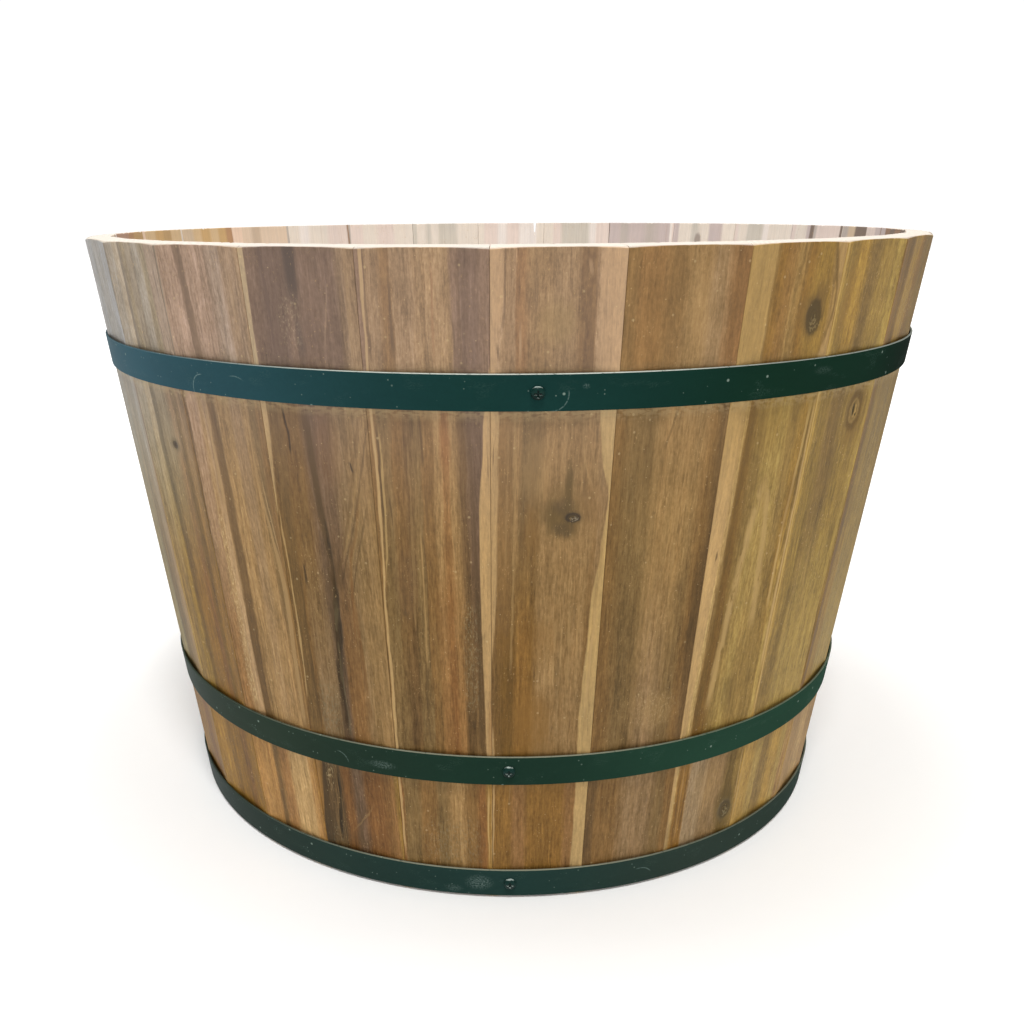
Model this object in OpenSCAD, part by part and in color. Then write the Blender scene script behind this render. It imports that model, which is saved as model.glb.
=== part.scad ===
// Tapered half-barrel planter.
//
// A ring of flat hardwood staves stands on its own lower ends. Their long
// edges are planed to radial planes, so they close into a polygon that is wider
// at the rim than at the floor. Three painted steel hoops ride on the corners of
// that polygon. A round base of boards sits in a groove cut round the inside of
// the staves, with two battens screwed to it from below.
//
// All lengths are millimetres. +Z is up, the floor is z = 0 and the front is -Y.
// An angle round the tub is measured from the front towards +X.

/* [Tub] */
// Number of staves in the wall
stave_count = 27; // [20:1:32]
// Rim diameter over the outer corners of the staves
rim_d = 560; // [480:5:640]
// Foot diameter over the outer corners of the staves
foot_d = 452; // [400:4:470]
// Height of the outer edge of the rim above the floor
tub_h = 379.5; // [340:0.5:450]
// Thickness of a stave
stave_t = 15; // [12:0.5:18]
// Angle of the first stave's middle from the front
front_turn = 5; // [0:0.5:10]
// Slope of the bevel turned round the outer edge of the rim
rim_bevel_slope = 27; // [20:1:45]

/* [Base] */
// Height of the underside of the base above the floor
base_z = 25; // [20:1:40]
// Thickness of the base boards
base_t = 12; // [9:1:15]
// Depth of the groove that holds the base, from the middle of a stave
croze_depth = 5; // [3:0.5:7]
// Number of boards in the base
base_board_count = 5; // [4:1:5]
// Gap left between neighbouring base boards
board_gap = 1; // [0.5:0.5:3]
// Diameter of the drain hole in each board
drain_d = 12; // [8:1:16]
// Sideways step of the drain holes in the second and fourth boards
drain_step = 45; // [30:5:60]
// Width of a batten
batten_w = 40; // [30:2:44]
// Thickness of a batten
batten_t = 12; // [9:1:15]
// Length of a batten
batten_len = 320; // [300:5:324]
// Distance of each batten's middle from the centre of the base
batten_x = 110; // [90:5:112]

/* [Hoops] */
// Width of the hoop strip
hoop_w = 19; // [16:1:25]
// Thickness of the hoop strip
hoop_t = 1.2; // [1:0.1:2]
// Height of the middle of the top hoop
top_hoop_z = 311.5; // [260:0.5:330]
// Height of the middle of the middle hoop
middle_hoop_z = 91; // [80:0.5:140]
// Height of the middle of the bottom hoop
bottom_hoop_z = 11; // [11:0.5:16]
// Length of the overlap where a hoop's two ends meet
hoop_lap = 46; // [36:1:60]

/* [Fasteners] */
// Diameter of a screw head
screw_head_d = 7; // [6:0.5:9]
// Diameter of a screw shank
screw_d = 3.5; // [3:0.1:4]
// Length of a hoop screw under its head
hoop_screw_len = 13; // [10:0.5:14]
// Length of a batten screw, head included
batten_screw_len = 20; // [16:1:22]
// Diameter of a rivet head
rivet_head_d = 6.5; // [5:0.5:8]
// Diameter of a rivet shank
rivet_d = 3.2; // [2.5:0.1:4]

/* [Hidden] */
$fn = 96;

step = 360 / stave_count;
half = step / 2;
rim_r = rim_d / 2;
foot_r = foot_d / 2;

// outer corner radius and outer face distance at a height
function corner_r(z) = foot_r + (rim_r - foot_r) * z / tub_h;
function face_r(z) = corner_r(z) * cos(half);
corner_lean = atan((rim_r - foot_r) / tub_h);
face_lean = atan((rim_r - foot_r) * cos(half) / tub_h);
stave_len = tub_h / cos(face_lean);

// inside face distance of a stave at a height
function inner_r(z) = face_r(z) - stave_t / cos(face_lean);

groove_r = inner_r(base_z + base_t / 2) + croze_depth;
base_r = groove_r - 0.5;
groove_h = base_t + 0.3;

board_pitch = 2 * base_r / base_board_count;
function board_y(i) = (i - (base_board_count - 1) / 2) * board_pitch;
// a board's own middle, measured over the part of it inside the round edge
function drain_x(i) = i == 1 ? -drain_step : (i == base_board_count - 2 ? drain_step : 0);
function drain_y(i) = abs(board_y(i)) > base_r * 0.7 ? sign(board_y(i)) * base_r * 0.77 : board_y(i);
// batten screws, one into each board
function batten_screw_y(i) = abs(board_y(i)) > base_r * 0.7 ? sign(board_y(i)) * (batten_len / 2 - 12) : board_y(i);

// stave middles: the side screws and the lap at the back sit on them
function stave_mid(i) = front_turn + i * step;
side_turns = [stave_mid(round(stave_count / 3)), stave_mid(-round(stave_count / 3))];
lap_turn = stave_mid(floor(stave_count / 2));

hoop_zs = [top_hoop_z, middle_hoop_z, bottom_hoop_z];
// the front screws were driven by hand, so each hoop has its own angle
front_screw_turns = [front_turn - 1.8, front_turn - 4.4, front_turn - 4.1];
function screw_turns(h) = [front_screw_turns[h], side_turns[0], side_turns[1]];
hoop_rest = 0.05;

stave_color = ["peru", "sienna", "tan", "burlywood"];
hoop_color = [0.09, 0.19, 0.16];

// turn a child that faces the front round to an angle
module at_turn(turn) rotate([0, 0, turn]) children();

// stand a child on the outside of a hoop: its +Z points straight out of the hoop
module on_hoop(turn, z)
    at_turn(turn)
    translate([0, -(corner_r(z) + hoop_rest), z])
    rotate([corner_lean, 0, 0])
    rotate([90, 0, 0])
    translate([0, 0, hoop_t])
    children();

// ---- wall -------------------------------------------------------------------

// one radial slice of the tub, from the floor up
module slice_wedge() {
    reach = rim_r + 20;
    linear_extrude(height = tub_h + 40)
        polygon([[0, 0], [-reach * tan(half), -reach], [reach * tan(half), -reach]]);
}

// the flat board that the slice is cut from, leaning outwards, with a square top end
module leaning_board() {
    w = 2 * rim_r * tan(half) + 20;
    translate([0, -face_r(0), 0])
    rotate([face_lean, 0, 0])
    translate([-w / 2, 0, -20])
    cube([w, stave_t, stave_len + 20]);
}

// everything under the bevel turned round the outer edge of the rim
module under_rim_bevel() {
    r_edge = face_r(tub_h) - 0.15;
    run = 1 / tan(rim_bevel_slope);
    top = tub_h + 12;
    translate([0, 0, -1])
    cylinder(h = top + 1, r1 = r_edge + (tub_h + 1) * run, r2 = r_edge - 12 * run, $fn = 180);
}

// the groove that the base sits in
module croze() translate([0, 0, base_z]) cylinder(h = groove_h, r = groove_r, $fn = 180);

// pilot holes for the hoop screws that land on stave i
module pilot_holes(i) {
    for (h = [0 : 2])
        for (turn = screw_turns(h))
            if (abs((turn - stave_mid(i) + 540) % 360 - 180) < half)
                on_hoop(turn, hoop_zs[h])
                translate([0, 0, -hoop_screw_len]) cylinder(h = hoop_screw_len, r = screw_d / 2);
}

module stave(i) color(stave_color[(i * 3) % 4]) difference() {
    at_turn(stave_mid(i)) intersection() {
        slice_wedge();
        leaning_board();
        under_rim_bevel();
    }
    croze();
    pilot_holes(i);
}

// ---- hoops ------------------------------------------------------------------

// cross-section of a hoop strip, from depth d0 to depth d1 out of the wall
module strip_section(z, d0, d1) {
    z0 = z - hoop_w / 2 * cos(corner_lean);
    u = [sin(corner_lean), cos(corner_lean)];
    n = [cos(corner_lean), -sin(corner_lean)];
    b = [corner_r(z0) + hoop_rest, z0];
    polygon([b + n * d0, b + n * d1, b + n * d1 + u * hoop_w, b + n * d0 + u * hoop_w]);
}

// a closed strip whose outer end laps over the other end at the back
module hoop(h) {
    z = hoop_zs[h];
    lap_angle = hoop_lap / corner_r(z) * 180 / PI;
    color(hoop_color) difference() {
        union() {
            rotate_extrude($fn = 180) strip_section(z, 0, hoop_t);
            rotate([0, 0, lap_turn - 90 - lap_angle / 2])
                rotate_extrude(angle = lap_angle, $fn = 180)
                strip_section(z, hoop_t - 0.3, 2 * hoop_t);
        }
        for (turn = screw_turns(h))
            on_hoop(turn, z) translate([0, 0, -hoop_t - 2]) cylinder(h = hoop_t + 6, r = screw_d / 2 + 0.2);
        for (side = [-1, 1])
            on_hoop(lap_turn + side * rivet_turn(h), z)
            translate([0, 0, -hoop_t - 2]) cylinder(h = 2 * hoop_t + 6, r = rivet_d / 2);
    }
}

// angle from the middle of the lap to each rivet
function rivet_turn(h) = hoop_lap / 4 / corner_r(hoop_zs[h]) * 180 / PI;

// ---- fasteners --------------------------------------------------------------

// cross recess, cut down from the top of a head
module cross_recess(reach, w, depth) {
    for (a = [0, 90]) rotate([0, 0, a])
        translate([-reach / 2, -w / 2, -depth]) cube([reach, w, depth + 3]);
}

// pan-head screw: the underside of the head is z = 0 and the point is below
module pan_screw(len) {
    r = screw_head_d / 2;
    h = screw_head_d * 0.34;
    color(hoop_color) difference() {
        union() {
            rotate_extrude($fn = 48)
                polygon([[0, 0], [r, 0], [r, h * 0.3], [r * 0.95, h * 0.52], [r * 0.84, h * 0.72],
                         [r * 0.66, h * 0.88], [r * 0.42, h * 0.97], [0, h]]);
            translate([0, 0, -len + 4]) cylinder(h = len - 3.9, r = screw_d / 2, $fn = 32);
            translate([0, 0, -len]) cylinder(h = 4, r1 = 0.3, r2 = screw_d / 2, $fn = 32);
        }
        translate([0, 0, h]) cross_recess(screw_head_d * 0.56, 1, h * 0.62);
    }
}

// countersunk screw: the top of the head is z = 0
module flat_screw(len) {
    r = screw_head_d / 2;
    color("silver") difference() {
        union() {
            translate([0, 0, -(r - screw_d / 2)])
                cylinder(h = r - screw_d / 2, r1 = screw_d / 2, r2 = r, $fn = 32);
            translate([0, 0, -len + 4]) cylinder(h = len - 5, r = screw_d / 2, $fn = 32);
            translate([0, 0, -len]) cylinder(h = 4, r1 = 0.3, r2 = screw_d / 2, $fn = 32);
        }
        cross_recess(screw_head_d * 0.5, 1, 1.3);
    }
}

module hoop_screws(h)
    for (turn = screw_turns(h)) on_hoop(turn, hoop_zs[h]) pan_screw(hoop_screw_len);

// rivet: low dome outside, thin set head in the gap behind the hoop
module rivet() {
    r = rivet_head_d / 2;
    color(hoop_color) {
        rotate_extrude($fn = 48)
            polygon([[0, -2 * hoop_t - 0.7], [r * 0.72, -2 * hoop_t - 0.7], [r * 0.72, -2 * hoop_t],
                     [rivet_d / 2, -2 * hoop_t], [rivet_d / 2, 0], [r, 0], [r * 0.93, 0.5],
                     [r * 0.72, 1.0], [r * 0.4, 1.4], [0, 1.5]]);
    }
}

module rivets()
    for (h = [0 : 2]) for (side = [-1, 1])
        on_hoop(lap_turn + side * rivet_turn(h), hoop_zs[h])
        translate([0, 0, hoop_t]) rivet();

// ---- base -------------------------------------------------------------------

module base_board(i) {
    color("tan") difference() {
        intersection() {
            translate([0, 0, base_z]) cylinder(h = base_t, r = base_r, $fn = 180);
            translate([-base_r - 5, board_y(i) - board_pitch / 2 + (i == 0 ? -5 : board_gap / 2), base_z - 1])
                cube([2 * base_r + 10,
                      board_pitch - (i == 0 ? 0 : board_gap / 2) - (i == base_board_count - 1 ? 0 : board_gap / 2)
                      + (i == 0 ? 5 : 0) + (i == base_board_count - 1 ? 5 : 0),
                      base_t + 2]);
        }
        translate([drain_x(i), drain_y(i), base_z - 1]) cylinder(h = base_t + 2, r = drain_d / 2, $fn = 48);
        for (side = [-1, 1])
            translate([side * batten_x, batten_screw_y(i), base_z - batten_t])
            rotate([180, 0, 0]) translate([0, 0, -batten_screw_len]) cylinder(h = batten_screw_len - 1, r = screw_d / 2, $fn = 32);
    }
}

module batten(side) {
    r = screw_head_d / 2;
    color("peru") difference() {
        translate([side * batten_x - batten_w / 2, -batten_len / 2, base_z - batten_t])
            cube([batten_w, batten_len, batten_t]);
        for (i = [0 : base_board_count - 1])
            translate([side * batten_x, batten_screw_y(i), base_z - batten_t]) {
                translate([0, 0, -1]) cylinder(h = batten_t + 2, r = screw_d / 2, $fn = 32);
                cylinder(h = r - screw_d / 2, r1 = r, r2 = screw_d / 2, $fn = 32);
            }
    }
}

module batten_screw_set()
    for (side = [-1, 1]) for (i = [0 : base_board_count - 1])
        translate([side * batten_x, batten_screw_y(i), base_z - batten_t])
        rotate([180, 0, 0]) flat_screw(batten_screw_len);

// ---- nodes ------------------------------------------------------------------

stave(0);  // stave_01
stave(1);  // stave_02
stave(2);  // stave_03
stave(3);  // stave_04
stave(4);  // stave_05
stave(5);  // stave_06
stave(6);  // stave_07
stave(7);  // stave_08
stave(8);  // stave_09
stave(9);  // stave_10
stave(10);  // stave_11
stave(11);  // stave_12
stave(12);  // stave_13
stave(13);  // stave_14
stave(14);  // stave_15
stave(15);  // stave_16
stave(16);  // stave_17
stave(17);  // stave_18
stave(18);  // stave_19
stave(19);  // stave_20
stave(20);  // stave_21
stave(21);  // stave_22
stave(22);  // stave_23
stave(23);  // stave_24
stave(24);  // stave_25
stave(25);  // stave_26
stave(26);  // stave_27
hoop(0);  // top_hoop
hoop(1);  // middle_hoop
hoop(2);  // bottom_hoop
hoop_screws(0);  // top_hoop_screws
hoop_screws(1);  // middle_hoop_screws
hoop_screws(2);  // bottom_hoop_screws
rivets();  // hoop_rivets
base_board(0);  // base_board_1
base_board(1);  // base_board_2
base_board(2);  // base_board_3
base_board(3);  // base_board_4
base_board(4);  // base_board_5
batten(-1);  // base_batten_left
batten(1);  // base_batten_right
batten_screw_set();  // batten_screws
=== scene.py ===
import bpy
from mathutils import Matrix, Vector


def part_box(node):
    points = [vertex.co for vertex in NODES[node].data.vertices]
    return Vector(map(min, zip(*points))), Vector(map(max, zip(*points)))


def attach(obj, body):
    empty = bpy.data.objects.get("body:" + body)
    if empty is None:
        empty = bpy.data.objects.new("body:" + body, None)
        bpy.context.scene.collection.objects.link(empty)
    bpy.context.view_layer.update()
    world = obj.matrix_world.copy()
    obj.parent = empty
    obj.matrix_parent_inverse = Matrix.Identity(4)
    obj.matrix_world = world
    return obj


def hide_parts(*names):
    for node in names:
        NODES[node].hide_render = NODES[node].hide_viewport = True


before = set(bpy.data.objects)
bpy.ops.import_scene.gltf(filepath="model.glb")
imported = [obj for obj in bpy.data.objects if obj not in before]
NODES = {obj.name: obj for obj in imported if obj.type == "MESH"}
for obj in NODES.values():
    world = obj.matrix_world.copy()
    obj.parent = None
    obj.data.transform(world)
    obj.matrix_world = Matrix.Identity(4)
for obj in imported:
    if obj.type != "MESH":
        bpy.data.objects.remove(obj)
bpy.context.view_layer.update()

import bpy
import bmesh
import math
import random
import numpy as np
from mathutils import Matrix, Vector, noise

SCENE = bpy.context.scene
pi = math.pi

# ---------------------------------------------------------------- sizes (mm)
STAVES = 27
HALF = pi / STAVES
STEP = 2 * HALF
FRONT = math.radians(5)
TUB_H = 379.5
RIM_R = 280.0
FOOT_R = 226.0
STAVE_T = 15.0
LEAN = math.atan((RIM_R - FOOT_R) * math.cos(HALF) / TUB_H)
CORNER_LEAN = math.atan((RIM_R - FOOT_R) / TUB_H)
SL, CL, TL = math.sin(LEAN), math.cos(LEAN), math.tan(LEAN)
LEN = TUB_H / CL
F0 = FOOT_R * math.cos(HALF)
BASE_Z, BASE_T = 25.0, 12.0
GROOVE_R = F0 + (RIM_R - FOOT_R) * math.cos(HALF) * 31.0 / TUB_H - STAVE_T / CL + 5.0
HOOPS = {"top_hoop": 311.5, "middle_hoop": 91.0, "bottom_hoop": 11.0}
HOOP_W, HOOP_T, HOOP_LAP = 19.0, 1.2, 46.0
LAP_TURN = FRONT + 13 * STEP


def corner_r(z):
    return FOOT_R + (RIM_R - FOOT_R) * z / TUB_H


def face_r(z):
    return corner_r(z) * math.cos(HALF)


# ---------------------------------------------------------------- camera
cam_data = bpy.data.cameras.new("camera")
cam_data.sensor_width = 36.0
cam_data.lens = 1105.02 * 36.0 / 1024.0
cam_data.shift_x = (512.0 - 464.07) / 1024.0
cam_data.shift_y = 0.0
cam_data.clip_start = 0.01
cam_data.clip_end = 100.0
camera = bpy.data.objects.new("camera", cam_data)
SCENE.collection.objects.link(camera)
camera.matrix_world = (
    Matrix.Translation((-0.003907, -0.801206, 0.400588))
    @ Matrix.Rotation(0.0319, 4, "Z")
    @ Matrix.Rotation(pi / 2 - 0.2739, 4, "X")
    @ Matrix.Rotation(-0.0066, 4, "Z")
)
SCENE.camera = camera


# ---------------------------------------------------------------- node writing
class Val:
    """A value or vector socket of a node tree, with arithmetic."""

    def __init__(self, g, out):
        self.g, self.out = g, out

    def _m(self, op, a, b=None, c=None):
        return self.g.math(op, a, b, c)

    def __add__(self, o): return self._m("ADD", self, o)
    def __radd__(self, o): return self._m("ADD", o, self)
    def __sub__(self, o): return self._m("SUBTRACT", self, o)
    def __rsub__(self, o): return self._m("SUBTRACT", o, self)
    def __mul__(self, o): return self._m("MULTIPLY", self, o)
    def __rmul__(self, o): return self._m("MULTIPLY", o, self)
    def __truediv__(self, o): return self._m("DIVIDE", self, o)
    def __neg__(self): return self._m("MULTIPLY", self, -1.0)


def lin(c):
    """sRGB 0-255 to linear."""
    out = []
    for v in c:
        v = v / 255.0
        out.append(v / 12.92 if v <= 0.04045 else ((v + 0.055) / 1.055) ** 2.4)
    return tuple(out)


def tone(name, k=1.0):
    """A named wood colour as an albedo. The named colours are what the eye sees, the oiled wood itself is deeper."""
    c = lin(PAL[name])
    if name[0] == "i":
        return (c[0] * k * 0.96, c[1] * k * 0.98, min(c[2] * k * 1.06, 0.9))
    y = 0.2126 * c[0] + 0.7152 * c[1] + 0.0722 * c[2]
    keep = 0.95 if name in GREYS else 0.74
    d = DEEP * k * 0.19 * (y / 0.19) ** 1.16
    return tuple(max(d * (m1 + keep * (v / y - m0)), 0.005) for v, m0, m1 in zip(c, (1.47, 0.914, 0.487), (1.53, 0.91, 0.325)))


DEEP = 0.70
GREYS = ("greige", "greigel", "greyw", "taupe", "greyt", "slate", "black", "ash", "bone", "knot")


class Graph:
    def __init__(self, name):
        self.mat = bpy.data.materials.new(name)
        self.mat.use_nodes = True
        self.nt = self.mat.node_tree
        self.nt.nodes.clear()
        self.count = 0

    def node(self, kind, **kw):
        n = self.nt.nodes.new("ShaderNode" + kind)
        self.count += 1
        for k, v in kw.items():
            if getattr(n, k) != v:
                setattr(n, k, v)
        return n

    def put(self, sock, val):
        if isinstance(val, Val):
            self.nt.links.new(val.out, sock)
        elif isinstance(val, (tuple, list)):
            sock.default_value = tuple(val) + ((1.0,) if len(sock.default_value) == 4 and len(val) == 3 else ())
        else:
            sock.default_value = val

    def math(self, op, a, b=None, c=None, clamp=False):
        n = self.node("Math", operation=op, use_clamp=clamp)
        self.put(n.inputs[0], a)
        if b is not None:
            self.put(n.inputs[1], b)
        if c is not None:
            self.put(n.inputs[2], c)
        return Val(self, n.outputs[0])

    def absv(self, a): return self.math("ABSOLUTE", a)
    def mn(self, a, b): return self.math("MINIMUM", a, b)
    def mx(self, a, b): return self.math("MAXIMUM", a, b)
    def sqrt(self, a): return self.math("SQRT", a)
    def sin(self, a): return self.math("SINE", a)
    def pw(self, a, b): return self.math("POWER", a, b)

    def clamp(self, a):
        return self.math("ADD", a, 0.0, clamp=True)

    def ss(self, x, a, b, lo=0.0, hi=1.0):
        """smooth step of x from a to b (a < b)."""
        n = self.node("MapRange", interpolation_type="SMOOTHSTEP")
        self.put(n.inputs["Value"], x)
        self.put(n.inputs["From Min"], a)
        self.put(n.inputs["From Max"], b)
        self.put(n.inputs["To Min"], lo)
        self.put(n.inputs["To Max"], hi)
        return Val(self, n.outputs["Result"])

    def comb(self, x, y, z):
        n = self.node("CombineXYZ")
        for s, v in zip(n.inputs, (x, y, z)):
            self.put(s, v)
        return Val(self, n.outputs[0])

    def sep(self, v):
        n = self.node("SeparateXYZ")
        self.put(n.inputs[0], v)
        return [Val(self, o) for o in n.outputs[:3]]

    def vec(self, op, a, b=None, scale=None):
        n = self.node("VectorMath", operation=op)
        self.put(n.inputs[0], a)
        if b is not None:
            self.put(n.inputs[1], b)
        if scale is not None:
            self.put(n.inputs["Scale"], scale)
        return Val(self, n.outputs["Vector"])

    def vlen(self, a):
        n = self.node("VectorMath", operation="LENGTH")
        self.put(n.inputs[0], a)
        return Val(self, n.outputs["Value"])

    def attr(self, name):
        n = self.node("Attribute", attribute_type="GEOMETRY", attribute_name=name)
        return Val(self, n.outputs["Vector"]), Val(self, n.outputs["Fac"])

    def noise(self, v, detail=2.0, rough=0.5, scale=1.0, distortion=0.0):
        n = self.node("TexNoise", noise_dimensions="3D")
        self.put(n.inputs["Vector"], v)
        n.inputs["Scale"].default_value = scale
        n.inputs["Detail"].default_value = detail
        n.inputs["Roughness"].default_value = rough
        n.inputs["Distortion"].default_value = distortion
        return Val(self, n.outputs[0])

    def snoise(self, v, **kw):
        """noise, about -1 to 1."""
        return (self.noise(v, **kw) - 0.5) * 3.2

    def voro(self, v, rand=1.0, feature="F1"):
        n = self.node("TexVoronoi", voronoi_dimensions="3D", feature=feature)
        self.put(n.inputs["Vector"], v)
        n.inputs["Scale"].default_value = 1.0
        n.inputs["Randomness"].default_value = rand
        col = Val(self, n.outputs["Color"]) if feature == "F1" else None
        return Val(self, n.outputs["Distance"]), col

    def mix(self, fac, a, b, blend="MIX"):
        n = self.node("Mix", data_type="RGBA", blend_type=blend, clamp_factor=True)
        self.put(n.inputs[0], fac)
        self.put(n.inputs[6], a)
        self.put(n.inputs[7], b)
        return Val(self, n.outputs[2])

    def fmix(self, fac, a, b):
        n = self.node("Mix", data_type="FLOAT", clamp_factor=True)
        self.put(n.inputs[0], fac)
        self.put(n.inputs[2], a)
        self.put(n.inputs[3], b)
        return Val(self, n.outputs[0])

    def scale(self, col, f):
        return self.vec("SCALE", col, scale=f)

    def tint(self, col, r, g, b):
        return self.vec("MULTIPLY", col, self.comb(r, g, b))

    def ramp(self, x, bands, soft=2.5, span=40.0, k=1.0):
        """bands: [(start, colour[, softness of its start])], over x in mm from -span to span."""
        stops = []
        for i, band in enumerate(bands):
            start, col = band[0], tone(band[1], k)
            s = band[2] if len(band) > 2 else soft
            if i == 0:
                stops.append((0.0, col))
            else:
                gap_l = start - bands[i - 1][0] if i > 1 else 99.0
                gap_r = bands[i + 1][0] - start if i + 1 < len(bands) else 99.0
                h = min(s / 2, gap_l * 0.48, gap_r * 0.48)
                stops.append(((start - h + span) / (2 * span), tone(bands[i - 1][1], k)))
                stops.append(((start + h + span) / (2 * span), col))
        n = self.node("ValToRGB")
        cr = n.color_ramp
        cr.interpolation = "LINEAR"
        while len(cr.elements) > 1:
            cr.elements.remove(cr.elements[-1])
        cr.elements[0].position = 0.0
        cr.elements[0].color = (*stops[0][1], 1.0)
        for p, c in stops[1:32]:
            e = cr.elements.new(min(max(p, 0.0), 1.0))
            e.color = (*c, 1.0)
        self.put(n.inputs[0], (x + span) * (0.5 / span))
        return Val(self, n.outputs[0])

    def path(self, z, pts):
        """a value in mm that follows (z, value) points; values from -40 to 40."""
        if isinstance(pts, (int, float)):
            return float(pts)
        pts = sorted(pts)
        n = self.node("FloatCurve")
        m = n.mapping
        m.extend = "HORIZONTAL"
        c = m.curves[0]
        q = [(p[0] / 400.0, (p[1] + 40.0) / 80.0) for p in pts]
        if len(q) == 1:
            q.append((q[0][0] + 0.2, q[0][1]))
        c.points[0].location = q[0]
        c.points[1].location = q[-1]
        for p in q[1:-1]:
            c.points.new(*p)
        for p in c.points:
            p.handle_type = "AUTO_CLAMPED"
        m.update()
        self.put(n.inputs["Value"], z * (1 / 400.0))
        return Val(self, n.outputs["Value"]) * 80.0 - 40.0

    def principled(self, **kw):
        n = self.node("BsdfPrincipled")
        for k, v in kw.items():
            self.put(n.inputs[k.replace("_", " ")], v)
        out = self.node("OutputMaterial")
        self.nt.links.new(n.outputs[0], out.inputs[0])
        return n

    def bump(self, h, mm=1.0, strength=1.0):
        n = self.node("Bump")
        n.inputs["Strength"].default_value = strength
        n.inputs["Distance"].default_value = 0.001 * mm
        self.put(n.inputs["Height"], h)
        return Val(self, n.outputs[0])


# ---------------------------------------------------------------- wood colours, chosen (sRGB)
PAL = {
    "greige": (163, 153, 138), "greigel": (181, 165, 144), "taupe": (130, 118, 100),
    "greyt": (156, 141, 120), "olgr": (146, 134, 108), "greyw": (166, 160, 151),
    "pinkt": (160, 140, 125), "pink": (166, 136, 118), "pinkl": (180, 152, 132),
    "mauve": (131, 103, 89), "mauvd": (114, 89, 78), "plum": (98, 76, 68), "slate": (62, 59, 57),
    "tan": (164, 130, 96), "tanl": (178, 147, 112), "tank": (166, 134, 104), "fawn": (155, 126, 101),
    "olive": (146, 119, 76), "olivl": (164, 140, 92), "olivd": (122, 98, 60), "olivk": (104, 84, 46),
    "gold": (164, 128, 74), "goldl": (176, 142, 86), "amber": (156, 110, 62), "amberd": (134, 96, 52),
    "brown": (142, 105, 70), "brownd": (122, 91, 62), "browng": (134, 107, 76), "umber": (98, 74, 50),
    "rust": (146, 96, 62), "rustl": (160, 114, 78), "red": (166, 98, 64), "peach": (174, 128, 86),
    "sap": (188, 157, 125), "sapg": (189, 162, 124), "sapl": (199, 171, 138), "sapp": (192, 159, 133),
    "bone": (208, 190, 160), "black": (52, 46, 38), "knot": (70, 60, 46), "ash": (150, 142, 122),
    # raw, unoiled wood of the inside, made pale partly as painted light where the inside is brightly lit
    "icream": (238, 228, 209), "ipink": (236, 220, 205), "iwhite": (245, 237, 224), "iolive": (210, 205, 188),
    "igrey": (192, 184, 172), "imauve": (203, 190, 183), "idark": (112, 101, 90), "ibrown": (146, 114, 86),
    "igold": (214, 176, 114), "igoldl": (226, 196, 146), "iorange": (166, 116, 66), "itan": (216, 194, 160),
    "ipeach": (246, 217, 187), "ifawn": (233, 210, 180), "itand": (210, 187, 157), "ioak": (188, 144, 100),
    "ioakl": (198, 163, 107), "imocha": (186, 148, 124),
}


# ---------------------------------------------------------------- wood material
def wood_coords(g, seed):
    v, _ = g.attr("grain")
    u, z, w = g.sep(v)
    off = (seed * 17.31 % 97.0, seed * 29.77 % 89.0, seed * 11.93 % 83.0)
    return u, z, w, off


def grain_vec(g, u, z, w, off, su, sz, sw=None):
    sw = sw or su
    return g.vec("ADD", g.comb(u * (1.0 / su), z * (1.0 / sz), w * (1.0 / sw)), off)


def speck_mask(g, u, z, w, off, cell, size, share):
    """sparse small round dots."""
    d, col = g.voro(g.vec("ADD", g.comb(u * (1.0 / cell), z * (1.0 / cell), w * (1.0 / cell)), off))
    r, gr, b = g.sep(col)
    dot = g.ss(d, size / cell * 0.45, size / cell, 1.0, 0.0)
    return dot * g.ss(r, 1.0 - share - 0.02, 1.0 - share + 0.02)


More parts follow.
